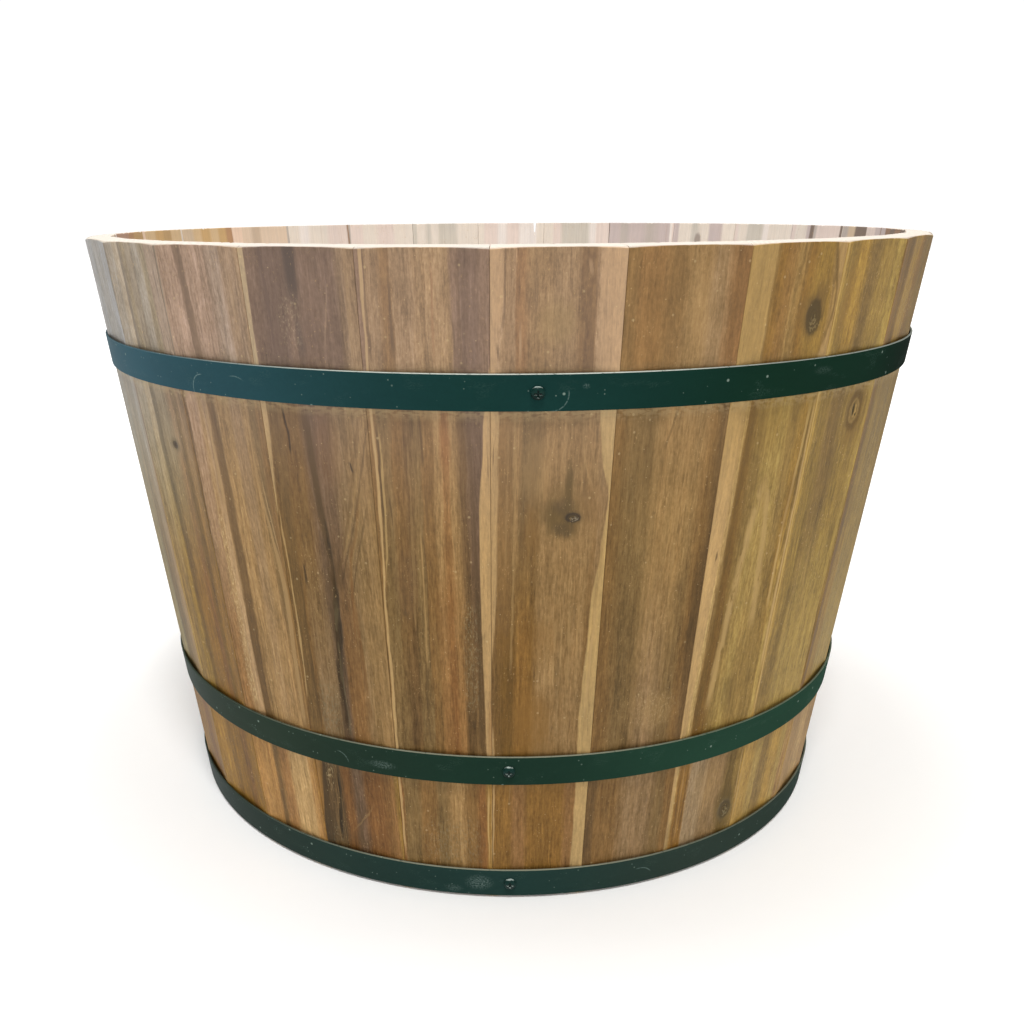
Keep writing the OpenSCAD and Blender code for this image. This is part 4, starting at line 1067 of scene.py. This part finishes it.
def build_stave(i):
    theta = FRONT + (i - 1) * STEP
    look = LOOK.get(i) or plain_look(i)
    look = dict(look)
    look["I"] = INSIDE.get(i) or plain_inside(i)
    if i == 11:
        look["iknots"] = [dict(u=5.5, z=367.5, ru=2.4, rz=4.2)]
    rnd = random.Random(i * 31 + 5)

    # columns across: (share of half width, mm in from the edge)
    cols = [(-1, 0.0), (-1, 0.12), (-1, 0.3), (-1, 0.6), (-1, 1.3)]
    mids = list(np.linspace(-0.94, 0.94, 37))
    if i == 14:
        mids += [-23.6 / 31, -22.9 / 31, -22.1 / 31, -21.3 / 31, -20.6 / 31]
    feats = [k["u"] + d for k in look.get("knots", []) for d in (-3, -1.5, 0, 1.5, 3)]
    if i == 26:
        feats += [-3.4, -2.4, -1.4, -0.4, 0.6, 1.6, -18.4, -17.8, -17.2]
    if i == 25:
        feats += [28.6, 29.2]
    mids = sorted(set(mids) | {f / 30.5 for f in feats if abs(f / 30.5) < 0.945})
    keep = [mids[0]]
    for m in mids[1:]:
        if m - keep[-1] > 0.011:
            keep.append(m)
    cols += [(m, 0.0) for m in keep] + [(1, 1.3), (1, 0.6), (1, 0.3), (1, 0.12), (1, 0.0)]
    rows = [0.0, 0.12, 0.3, 0.6, 1.5, 3.5]
    rows += list(np.arange(7.0, LEN - 12, 5.2))
    gz = [(BASE_Z - 0.15 - 2.1) / CL, (BASE_Z + 0.15 - 2.1) / CL, (BASE_Z + BASE_T + 0.15 - 2.1) / CL, (BASE_Z + BASE_T + 0.45 - 2.1) / CL]
    rows += gz
    for k in look.get("knots", []):
        rows += [k["z"] / CL + d for d in (-6, -4.5, -3, -1.5, 0, 1.5, 3, 4.5, 6)]
    rows += [LEN - 10, LEN - 7.5, LEN - 5.5, LEN - 4, LEN - 2.6, LEN - 1.5, LEN - 0.6, LEN - 0.3, LEN - 0.12, LEN]
    rows = sorted(r for r in rows if 0 <= r <= LEN)
    kept = [rows[0]]
    for r in rows[1:]:
        if r - kept[-1] > 0.1 and (r - kept[-1] > 0.9 or r < 3 or r > LEN - 3 or any(abs(r - x) < 0.01 for x in gz) or any(abs(kept[-1] - x) < 0.01 for x in gz)):
            kept.append(r)
    if kept[-1] != LEN:
        kept[-1] = LEN
    rows = kept
    deps = [0.0, 0.12, 0.3, 0.6, 2.4, 5.0, 7.5, 10.0, 12.6, 14.4, 14.7, 14.88, 15.0]
    where, quads, ends = lattice(len(cols), len(rows), len(deps))
    cs = np.array([c[0] for c in cols])[where[:, 0]]
    co = np.array([c[1] for c in cols])[where[:, 0]]
    t = np.array(rows)[where[:, 1]]
    w = np.array(deps)[where[:, 2]]
    gap = 0.06

    def half_width(v, w):
        return (F0 + v * SL - w * CL) * math.tan(HALF) - gap / 2

    def v_of(t, w):
        return t - w * TL * np.maximum(0.0, 1.0 - t / 30.0)

    # where the turned bevel ends each column
    r_edge = face_r(TUB_H) + 0.02
    run = 1 / math.tan(math.radians(27))
    vtop = np.full(len(t), LEN)
    for _ in range(6):
        hw = half_width(vtop, w)
        u = np.where(np.abs(cs) == 1, cs * (hw - co), cs * hw)
        ry = F0 + vtop * SL - w * CL
        rr = np.hypot(u, ry)
        zc = TUB_H + 0.8 + (r_edge - rr) / run
        vtop = np.minimum(LEN + 0.8 - 1.2 * w / STAVE_T, (zc - w * SL) / CL)
    # small unevenness and chips along the rim
    rim_pts = np.stack([u * 0.16, w * 0.3, np.zeros_like(u)], 1)
    uneven = fbm(rim_pts, i, 3)
    spikes = np.maximum(fbm(np.stack([u * 0.8, w * 0.5, np.ones_like(u) * 3], 1), i + 50, 2) - 0.35, 0)
    edge_in = np.exp(-((STAVE_T - w) / 1.2) ** 2)
    edge_out = np.exp(-(w / 0.9) ** 2)
    vtop = vtop - 0.06 * np.abs(uneven) - spikes * (1.7 * edge_in + 0.45 * edge_out)
    if i == 14:  # a small split at the rim
        cut = np.maximum(0.0, 1.0 - np.abs(u + 22.1) / 1.15)
        vtop = vtop - 15.0 * cut
    t = np.where(t > LEN - 22, LEN - 22 + (t - (LEN - 22)) * (vtop - (LEN - 22)) / 22.0, t)

    # rounded edges
    hw = half_width(v_of(t, w), w)
    u = np.where(np.abs(cs) == 1, cs * (hw - co), cs * hw)
    d = np.stack([hw - np.abs(u), np.minimum(t, np.maximum(vtop - t, 0)), np.minimum(w, STAVE_T - w)], 1)
    r_ease = 0.38
    d2 = rounded(d, r_ease)
    u = np.sign(u) * np.where(np.abs(u) > hw - r_ease * 1.01, hw - d2[:, 0], np.abs(u))
    t = np.where(t < r_ease * 1.01, d2[:, 1], np.where(vtop - t < r_ease * 1.01, vtop - d2[:, 1], t))
    w2 = np.where(w < r_ease * 1.01, d2[:, 2], np.where(STAVE_T - w < r_ease * 1.01, STAVE_T - d2[:, 2], w))

    v = v_of(t, w2)
    # planed faces are never quite flat
    zz = v * CL + w2 * SL
    amp = np.clip(np.minimum(hw - np.abs(u), np.minimum(t, vtop - t)) / 6.0, 0, 1)
    wav = fbm(np.stack([u * 0.05, zz * 0.012, (w2 > 7.5) * 5.0], 1), i + 200, 3)
    dip = (0.10 + 0.16 * np.clip(wav + 0.3, 0, 1.2)) * amp
    for k in look.get("knots", []):
        e2 = ((u - k["u"]) / (k["ru"] * 1.15)) ** 2 + ((zz - k["z"]) / (k["rz"] * 1.15)) ** 2
        dip = dip + np.where(w2 < 7.5, 0.34 * np.exp(-e2 * 1.3), 0)
    if i == 26:
        c = np.interp(zz, [98, 112, 130, 150, 172, 188, 200, 216], [-2, -2.2, -2.6, -2, -0.9, 0.2, 0.6, 0.3])
        m = np.exp(-((u - c) / 1.1) ** 2) * np.clip((zz - 96) / 10, 0, 1) * np.clip((218 - zz) / 12, 0, 1)
        dip = dip + np.where(w2 < 7.5, 0.42 * m, 0)
        c = np.interp(zz, [272, 284, 292, 301], [-17, -16.6, -17.8, -18.6])
        m = np.exp(-((u - c) / 0.8) ** 2) * np.clip((zz - 270) / 5, 0, 1) * np.clip((303 - zz) / 5, 0, 1)
        dip = dip + np.where(w2 < 7.5, 0.3 * m, 0)
    if i == 25:
        m = np.exp(-((hw - u) / 1.2) ** 2) * np.exp(-((zz - 264) / 6.5) ** 2)
        dip = dip + np.where(w2 < 7.5, 0.7 * m, 0)
    s_out = np.clip(1.0 - w2 / 1.2, 0, 1)
    s_in = np.clip(1.0 - (STAVE_T - w2) / 1.2, 0, 1)
    wd = w2 + dip * s_out - dip * s_in
    ry = F0 + v * SL - wd * CL
    z = v * CL + wd * SL
    z = np.maximum(z, 0.0)
    # groove for the base
    inside = (w2 > 14) & (z > BASE_Z) & (z < BASE_Z + BASE_T + 0.3)
    gr = np.sqrt(np.maximum(GROOVE_R ** 2 - u ** 2, 1))
    ry = np.where(inside & (ry < gr), gr, ry)
    co3 = np.stack([u, -ry, z], 1)

    grain = np.stack([u, z, w2], 1)
    edge = np.stack([hw - np.abs(u), np.minimum(t, vtop - t), hoop_rub(z) * (w2 < 2)], 1)
    # the eased outer edge of the rim keeps the face's colour
    wq = w2[quads].mean(1)
    ends[(wq < 0.36) & (ends == 1)] = 0
    side = wood(f"acacia_{i:02d}", look, i)
    end = end_grain(f"acacia_end_{i:02d}", look, i)
    ob = mesh_object(f"tub_stave_{i:02d}", co3, quads, [side, end], slots=ends,
                     attrs={"grain": grain, "edge": edge}, turn=theta)
    # crisp turn from the faces onto the ends
    bm = bmesh.new()
    bm.from_mesh(ob.data)
    bmesh.ops.dissolve_degenerate(bm, dist=1e-6, edges=bm.edges)
    bm.to_mesh(ob.data)
    bm.free()
    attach(ob, "root")
    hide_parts(f"stave_{i:02d}")
    return ob


staves = [build_stave(i) for i in range(1, STAVES + 1)]


# ---------------------------------------------------------------- painted steel
def paint(name, which="top", marks=(), scuffs=()):
    g = Graph(name)
    v, _ = g.attr("grain")      # mm along the strip, mm across, mm out
    s, c, d = g.sep(v)
    e, _ = g.attr("edge")
    ex, ey, top_edge_wear_and_highlight = g.sep(e)     # mm to an edge, side of the tub -1..1, top edge: wear and painted highlight
    # painted sheen and shade: the paint colour changes round the tub, paler and bluish at the left, darker at the right
    left, mid_c, right = {"top": ((46, 79, 90), (20, 52, 49), (13, 42, 30)),
                          "middle": (((46, 56, 46)), (26, 49, 39), (32, 62, 48)),
                          "bottom": (((43, 53, 46)), (33, 57, 53), (44, 58, 51))}[which]
    base = g.mix(g.ss(ey, -0.92, -0.02), lin(left), lin(mid_c))
    base = g.mix(g.ss(ey, 0.02, 0.55), base, lin(right))
    # painted shade at the far right of the top hoop, painted sheen there on the other hoops
    base = g.scale(base, g.ss(ey, 0.70, 0.95, 1.0, 0.35 if which == "top" else 1.15))
    cloud = g.snoise(g.comb(s * 0.018, c * 0.05, d), detail=3)
    fine = g.snoise(g.comb(s * 0.55, c * 0.55, d * 0.55), detail=3)
    peel = g.snoise(g.comb(s * 1.1, c * 1.1, d), detail=2)
    col = g.scale(base, cloud * 0.10 + fine * 0.05 + 1.0)
    # scuffs and hair scratches
    sc = g.noise(g.comb(s * 0.22 + c * 0.35, c * 0.9 - s * 0.25, 3.0), detail=4, rough=0.7)
    scr = g.ss(g.absv(sc - 0.5), 0.0, 0.012, 1.0, 0.0) * g.ss(g.noise(g.comb(s * 0.05, c * 0.1, 9.0), detail=2), 0.56, 0.66)
    col = g.mix(scr * 0.35, col, lin((96, 122, 112)))
    dust = speck_mask(g, s, c, d, (3.0, 7.0, 1.0), 8.5, 1.0, 0.30)
    dust2 = speck_mask(g, s, c, d, (13.0, 1.0, 5.0), 3.4, 0.5, 0.20)
    col = g.mix(dust * 0.55 + dust2 * 0.35, col, lin((150, 170, 158)))
    for a0, h0, r0, t0, t1, al in marks:     # curved scratches
        ds, dh = s - a0, c - h0
        rr = g.sqrt(ds * ds + dh * dh)
        m = g.ss(g.absv(rr - r0 + fine * 0.10), 0.10, 0.45, 1.0, 0.0)
        # the side of the circle that is scratched
        m = m * g.ss(ds * math.cos(t0) + dh * math.sin(t0), r0 * t1 - 0.8, r0 * t1 + 0.8)
        m = m * g.ss(g.noise(g.comb(s * 0.8, c * 0.8, 5.0), detail=2), 0.30, 0.50)
        col = g.mix(m * al, col, lin((150, 176, 170)))
    for a0, h0, rs, rh, al in scuffs:
        ds, dh = (s - a0) * (1.0 / rs), (c - h0) * (1.0 / rh)
        m = g.ss(g.sqrt(ds * ds + dh * dh) + cloud * 0.2, 0.2, 1.1, 1.0, 0.0)
        m = m * g.ss(g.noise(g.comb(s * 0.9, c * 1.1, 8.0), detail=4, rough=0.7), 0.42, 0.62)
        col = g.mix(m * al, col, lin((132, 152, 146)))
    # the pale top edge: worn paint and dust, and partly a painted highlight where overhead light catches it, faded
    # toward both sides
    w = g.clamp(top_edge_wear_and_highlight * g.ss(g.noise(g.comb(s * 0.4, c * 0.6, 1.0), detail=3), 0.22, 0.42))
    w = w * g.ss(ey, -0.80, -0.10, 0.05, 1.0) * g.ss(ey, 0.12, 0.60, 1.0, 0.42)
    col = g.mix(w * (0.92 if which == "top" else 0.62), col, lin((206, 214, 206) if which == "top" else (158, 158, 138)))
    h = peel * 0.010 + fine * 0.004 - scr * 0.02 + dust * 0.03
    g.principled(Base_Color=col, Roughness=g.clamp(cloud * 0.04 + fine * 0.04 + w * 0.2 + dust * 0.2 + g.ss(ey, 0.45, 0.85) * 0.32 + 0.50),
                 Specular_IOR_Level=0.022, Normal=g.bump(h, 1.0))
    return g.mat


def build_hoop(node, zc):
    lean = CORNER_LEAN
    z0 = zc - HOOP_W / 2 * math.cos(lean)
    lap = HOOP_LAP / corner_r(zc)
    start = LAP_TURN - lap / 2
    total = 2 * pi + lap
    n = int(round(total / (2 * pi / 432)))
    ang = start + total * np.arange(n + 1) / n
    # cross-section, counter-clockwise seen along the strip: (out, up)
    r = 0.38
    pts, to_edge, top = [], [], []

    def arc(cx, cy, a0):
        for k in range(5):
            a = a0 + pi / 2 * k / 4
            pts.append((cx + r * math.cos(a), cy + r * math.sin(a)))

    arc(HOOP_T - r, r, -pi / 2)
    for k in (1.2, 3.5, 6.5, 9.5, 12.5, 15.5, 17.8):
        pts.append((HOOP_T, k))
    arc(HOOP_T - r, HOOP_W - r, 0)
    arc(r, HOOP_W - r, pi / 2)
    for k in (15.0, 9.5, 4.0):
        pts.append((0.0, k))
    arc(r, r, pi)
    sec = np.array(pts)
    m = len(sec)
    rnd = random.Random(int(zc))
    verts, grain, edge = [], [], []
    b = corner_r(z0) + 0.05
    su, cu = math.sin(lean), math.cos(lean)
    for k, a in enumerate(ang):
        phi = a - start
        # the outer end steps over the inner one
        left = total - phi
        lift = HOOP_T + 0.05
        st = np.clip((lap + 0.012 - left + 0.022) / 0.022, 0, 1)
        st = st * st * (3 - 2 * st) * lift
        wob = 0.10 * noise.fractal(Vector((math.cos(a) * 2.2, math.sin(a) * 2.2, zc)), 0.9, 2.0, 2)
        wob = max(wob, -0.02)
        # narrow a little towards the ends' corners
        lip = min(phi, left) * corner_r(zc)
        trim = 2.2 * max(0.0, 1 - lip / 2.2) ** 2
        for o, h in sec:
            hh = HOOP_W / 2 + (h - HOOP_W / 2) * (1 - trim / HOOP_W)
            rad = b + (o + st + wob) * cu + hh * su
            z = z0 - (o + st + wob) * su + hh * cu
            verts.append((rad * math.sin(a), -rad * math.cos(a), z))
            grain.append((phi * corner_r(zc), h, o))
            out_top = h > HOOP_W - (0.36 if node.startswith("top") else 0.28)
            edge.append((min(h, HOOP_W - h), math.sin(a), 1.0 if out_top else 0.0))
    faces = []
    for k in range(n):
        for j in range(m):
            a0, a1 = k * m + j, k * m + (j + 1) % m
            faces.append((a0, a0 + m, a1 + m, a1))
    faces.append(tuple(range(m - 1, -1, -1)))
    faces.append(tuple(n * m + j for j in range(m)))
    smooth = np.ones(len(faces), bool)
    smooth[-2:] = False
    def at(deg):
        return (math.radians(deg) - start) % (2 * pi) * corner_r(zc)

    which = node.split("_")[0]
    marks = {"top": [(at(4.6), 8.6, 8.6, -0.75, 0.60, 0.22), (at(-36.8), 2.2, 8.6, 2.5, 0.60, 0.30),
                     (at(-31.5), 0.0, 12.0, 1.4, 0.95, 0.25)],
             "middle": [(at(-24), 4.0, 7.0, 0.8, 0.8, 0.25)], "bottom": [(at(21), 2.0, 9.0, 1.2, 0.85, 0.25)]}[which]
    scuffs = {"top": [(at(38), 12.0, 9.0, 3.0, 0.12), (at(8.2), 12.5, 2.2, 1.6, 0.3)],
              "middle": [(at(-17), 7.0, 9.0, 3.0, 0.3)],
              "bottom": [(at(-3.6), 9.5, 9.0, 6.5, 0.42), (at(-7.5), 4.0, 6.0, 3.0, 0.25)]}[which]
    ob = mesh_object(f"{node}_strip", verts, faces, [paint(f"{node}_paint", which, marks, scuffs)], smooth=smooth,
                     attrs={"grain": grain, "edge": edge})
    bm = bmesh.new()
    bm.from_mesh(ob.data)
    bmesh.ops.recalc_face_normals(bm, faces=bm.faces)
    bm.to_mesh(ob.data)
    bm.free()
    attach(ob, "root")
    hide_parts(node)
    return ob


hoops = [build_hoop(n, z) for n, z in HOOPS.items()]


# ---------------------------------------------------------------- pieces made from the CAD solids, with eased edges
def eased_copy(node, name, width, mats, angle=25, segments=2, subdivide=0, grain=None):
    src = NODES[node]
    me = src.data.copy()
    me.name = name
    me.materials.clear()
    for m in mats:
        me.materials.append(m)
    me.polygons.foreach_set("material_index", np.zeros(len(me.polygons), np.int32))
    ob = bpy.data.objects.new(name, me)
    SCENE.collection.objects.link(ob)
    bm = bmesh.new()
    bm.from_mesh(me)
    bmesh.ops.remove_doubles(bm, verts=bm.verts, dist=2e-6)
    bmesh.ops.dissolve_limit(bm, angle_limit=math.radians(1.0), verts=bm.verts, edges=bm.edges)
    bm.to_mesh(me)
    bm.free()
    if me.attributes.get("custom_normal"):
        me.attributes.remove(me.attributes["custom_normal"])
    bev = ob.modifiers.new("ease", "BEVEL")
    bev.width = width * 0.001
    bev.segments = segments
    bev.limit_method = "ANGLE"
    bev.angle_limit = math.radians(angle)
    bev.harden_normals = False
    dg = bpy.context.evaluated_depsgraph_get()
    out = bpy.data.meshes.new_from_object(ob.evaluated_get(dg))
    ob.modifiers.clear()
    old = ob.data
    ob.data = out
    bpy.data.meshes.remove(old)
    out.name = name
    out.materials.clear()
    for m in mats:
        out.materials.append(m)
    out.polygons.foreach_set("material_index", np.zeros(len(out.polygons), np.int32))
    bm = bmesh.new()
    bm.from_mesh(out)
    for f in bm.faces:
        f.smooth = True
    for e in bm.edges:
        if len(e.link_faces) == 2 and e.calc_face_angle(0) > math.radians(32):
            e.smooth = False
    bmesh.ops.triangulate(bm, faces=[f for f in bm.faces if len(f.verts) > 4])
    bm.to_mesh(out)
    bm.free()
    co = np.zeros(len(out.vertices) * 3)
    out.vertices.foreach_get("co", co)
    co = co.reshape(-1, 3) * 1000
    for key in ("grain", "edge"):
        at = out.attributes.new(key, "FLOAT_VECTOR", "POINT")
        val = (grain(co) if grain else co) if key == "grain" else np.stack([np.full(len(co), 3.0), co[:, 0] / 280, np.zeros(len(co))], 1)
        at.data.foreach_set("vector", val.astype(np.float32).ravel())
    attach(ob, "root")
    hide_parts(node)
    return ob


def head_paint(name):
    g = Graph(name)
    v, _ = g.attr("grain")
    x, y, z = g.sep(v)
    base = lin((12, 44, 39))
    fine = g.snoise(g.vec("SCALE", v, scale=1.3), detail=3)
    cloud = g.snoise(g.vec("SCALE", v, scale=0.25), detail=2)
    col = g.scale(g.comb(*base), fine * 0.10 + cloud * 0.10 + 1.0)
    geo = g.node("NewGeometry")
    point = Val(g, geo.outputs["Pointiness"])
    wear = g.ss(point, 0.53, 0.60) * g.ss(g.noise(g.vec("SCALE", v, scale=0.8), detail=3), 0.40, 0.60)
    col = g.mix(wear * 0.25, col, lin((120, 140, 130)))
    # painted highlight on the faces that point up
    up = g.sep(Val(g, geo.outputs["Normal"]))[2]
    painted_highlight = g.ss(up, 0.62, 0.90) * g.ss(g.noise(g.vec("SCALE", v, scale=0.7), detail=2), 0.30, 0.55)
    col = g.mix(painted_highlight * 0.72, col, lin((196, 210, 204)))
    # painted shade on the faces that point down
    col = g.scale(col, g.ss(up, -0.45, 0.0, 0.5, 1.0))
    g.principled(Base_Color=col, Roughness=g.clamp(fine * 0.05 + 0.36), Specular_IOR_Level=0.12,
                 Normal=g.bump(fine * 0.012, 1.0))
    return g.mat


def zinc(name):
    g = Graph(name)
    v, _ = g.attr("grain")
    fine = g.snoise(g.vec("SCALE", v, scale=1.7), detail=3)
    cloud = g.snoise(g.vec("SCALE", v, scale=0.3), detail=3)
    col = g.mix(g.clamp(cloud * 0.4 + 0.5), lin((168, 170, 172)), lin((196, 190, 168)))
    col = g.scale(col, fine * 0.06 + 1.0)
    g.principled(Base_Color=col, Metallic=0.9, Roughness=g.clamp(fine * 0.06 + cloud * 0.05 + 0.36),
                 Normal=g.bump(fine * 0.01, 1.0))
    return g.mat


head = head_paint("screw_paint")
for node in ("top_hoop_screws", "middle_hoop_screws", "bottom_hoop_screws"):
    eased_copy(node, node + "_painted", 0.10, [head], angle=24)
eased_copy("hoop_rivets", "hoop_rivets_painted", 0.10, [head], angle=24)
eased_copy("batten_screws", "batten_screws_zinc", 0.08, [zinc("screw_zinc")], angle=24)

# base boards run along X, battens along Y
board_sets = [["tan", "olive", "tan", "fawn"], ["fawn", "tan", "rustl", "tan"], ["olive", "olivl", "browng", "tan"],
              ["tank", "tan", "brown", "tan"], ["tan", "gold", "olive", "tan"]]


def board_look(tones, seed):
    rnd = random.Random(seed)
    out, u = [(-60, tones[0])], -60
    k = 1
    while u < 48 and len(out) < 9:
        u += rnd.uniform(7, 18)
        out.append((u, tones[k % len(tones)], rnd.uniform(2, 6)))
        k += 1
    out = [(max(a[0], -40), *a[1:]) if j == 0 else a for j, a in enumerate(out) if j == 0 or a[0] > -40]
    return dict(T=out, M1=out, M2=out, B=out, bleach=0.3, drift=2.0, wave=1.4)


def flat_wood(name, spec, seed, shade=1.0):
    """as the staves' wood, for boards whose grain runs along their own length."""
    g = Graph(name)
    u, z, w, off = wood_coords(g, seed)
    gv = lambda su, sz, sw=None, a=u: grain_vec(g, a, z, w, off, su, sz, sw)
    low = g.snoise(gv(46, 170), detail=2) * 2.4
    mid = g.snoise(gv(13, 66), detail=2) * 1.2
    hi = g.snoise(gv(2.4, 20), detail=3, rough=0.6)
    ua = u + low + mid + hi * 0.35
    col = g.ramp(ua, spec["T"])
    b1 = g.snoise(gv(4.2, 240, 6.0, ua), detail=3, rough=0.55)
    b2 = g.snoise(gv(1.25, 120, 2.4, ua), detail=4, rough=0.62)
    fib = g.snoise(gv(0.42, 17, 0.6), detail=3, rough=0.6)
    cloud = g.snoise(gv(19, 42), detail=3, rough=0.6)
    col = g.scale(col, b1 * 0.07 + b2 * 0.08 + fib * 0.05 + cloud * 0.06 + 1.0)
    pore = g.ss(g.noise(gv(0.55, 8.5, 0.55), detail=2, rough=0.6), 0.58, 0.68)
    col = g.scale(col, (1.0 - pore * 0.2) * shade)
    stain = g.ss(g.noise(gv(40, 55), detail=4, rough=0.6), 0.46, 0.66)
    col = g.mix(stain * 0.25, col, tone("umber"))
    h = b2 * 0.03 + fib * 0.02 - pore * 0.06 + g.snoise(gv(60, 5.5), detail=1) * 0.012
    g.principled(Base_Color=col, Roughness=g.clamp(b2 * 0.04 + cloud * 0.04 + 0.66), Specular_IOR_Level=0.28,
                 Normal=g.bump(h, 1.0))
    return g.mat


for i in range(1, 6):
    y0 = (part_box(f"base_board_{i}")[0].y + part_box(f"base_board_{i}")[1].y) * 500
    eased_copy(f"base_board_{i}", f"base_plank_{i}", 0.6, [flat_wood(f"base_wood_{i}", board_look(board_sets[i - 1], i), 40 + i, 0.92)],
               angle=30, grain=lambda co, y0=y0, i=i: np.stack([(co[:, 1] - y0) * 0.85, co[:, 0] + 37 * i, co[:, 2]], 1))
for side, x0 in (("left", -110), ("right", 110)):
    eased_copy(f"base_batten_{side}", f"batten_{side}", 0.8, [flat_wood(f"batten_wood_{side}", board_look(board_sets[3 if side == "left" else 1], x0), 60 + x0 // 100, 0.8)],
               angle=30, grain=lambda co, x0=x0: np.stack([co[:, 0] - x0, co[:, 1] + x0, co[:, 2]], 1))


# ---------------------------------------------------------------- floor and light
def floor_material():
    g = Graph("floor_paper")
    tc = g.node("TexCoord")
    p = Val(g, tc.outputs["Object"])
    n1 = g.snoise(g.vec("SCALE", p, scale=1.4), detail=3)
    n2 = g.snoise(g.vec("SCALE", p, scale=60.0), detail=3)
    col = g.scale(g.comb(0.88, 0.88, 0.88), n1 * 0.006 + n2 * 0.006 + 1.0)
    x, y, _ = g.sep(p)
    far = g.ss(g.sqrt(x * x + y * y), 0.35, 1.5)
    n = g.principled(Base_Color=col, Roughness=0.85, Specular_IOR_Level=0.1, Normal=g.bump(n2 * 0.05, 1.0))
    n.inputs["Emission Color"].default_value = (1, 1, 1, 1)
    g.put(n.inputs["Emission Strength"], far * 0.34 + 0.10)
    return g.mat


bm = bmesh.new()
bmesh.ops.create_circle(bm, cap_ends=True, radius=9.0, segments=96)
fm = bpy.data.meshes.new("studio_floor")
bm.to_mesh(fm)
bm.free()
fm.materials.append(floor_material())
floor = bpy.data.objects.new("studio_floor", fm)
floor.location = (0, 0, 0)
floor.visible_glossy = False
SCENE.collection.objects.link(floor)

world = bpy.data.worlds.new("studio")
SCENE.world = world
world.use_nodes = True
wt = world.node_tree
wt.nodes.clear()
wo = wt.nodes.new("ShaderNodeOutputWorld")
bg = wt.nodes.new("ShaderNodeBackground")
bg2 = wt.nodes.new("ShaderNodeBackground")
mixs = wt.nodes.new("ShaderNodeMixShader")
lp = wt.nodes.new("ShaderNodeLightPath")


class WorldGraph(Graph):
    def __init__(self, tree):
        self.nt, self.count = tree, 0


wg = WorldGraph(wt)
wtc = wg.node("TexCoord")
wx, wy, wz = wg.sep(Val(wg, wtc.outputs["Generated"]))
sky = wg.comb(0.54, 0.532, 0.518)
low = wg.mix(wg.ss(wx, -0.75, 0.25), wg.comb(1.0, 1.05, 1.08), wg.comb(0.95, 0.95, 0.93))
wcol = wg.mix(wg.ss(wz, -0.03, 0.03), low, sky)
wg.put(bg.inputs["Color"], wcol)
bg.inputs["Strength"].default_value = 1.0
bg2.inputs["Color"].default_value = (1, 1, 1, 1)
bg2.inputs["Strength"].default_value = 1.05
wt.links.new(lp.outputs["Is Camera Ray"], mixs.inputs[0])
wt.links.new(bg.outputs[0], mixs.inputs[1])
wt.links.new(bg2.outputs[0], mixs.inputs[2])
wt.links.new(mixs.outputs[0], wo.inputs[0])


def area(name, loc, target, size, power, color, size_y=None):
    d = bpy.data.lights.new(name, "AREA")
    d.shape = "RECTANGLE"
    d.size = size
    d.size_y = size_y or size
    d.energy = power
    d.color = color
    o = bpy.data.objects.new(name, d)
    SCENE.collection.objects.link(o)
    o.location = loc
    o.rotation_euler = (Vector(target) - Vector(loc)).to_track_quat("-Z", "Y").to_euler()
    return o


def sun(name, azimuth, elevation, strength, angle, color):
    """azimuth from the front (-Y) towards +X, in degrees."""
    d = bpy.data.lights.new(name, "SUN")
    d.energy = strength
    d.angle = math.radians(angle)
    d.color = color
    o = bpy.data.objects.new(name, d)
    SCENE.collection.objects.link(o)
    a, e = math.radians(azimuth), math.radians(elevation)
    src = Vector((math.sin(a) * math.cos(e), -math.cos(a) * math.cos(e), math.sin(e)))
    o.rotation_euler = (-src).to_track_quat("-Z", "Y").to_euler()
    return o


sun("key", 4, 66, 1.9, 12, (1.0, 0.985, 0.96))
area("above", (0.0, -0.12, 1.30), (0, 0.05, 0.2), 0.4, 5.6, (1.0, 0.99, 0.98))
area("cool_left", (-2.4, 0.9, 0.9), (0, 0, 0.25), 1.6, 13, (0.72, 0.86, 1.0))

SCENE.view_settings.view_transform = "Standard"
SCENE.view_settings.look = "None"
SCENE.view_settings.exposure = 0.0
SCENE.view_settings.gamma = 1.0
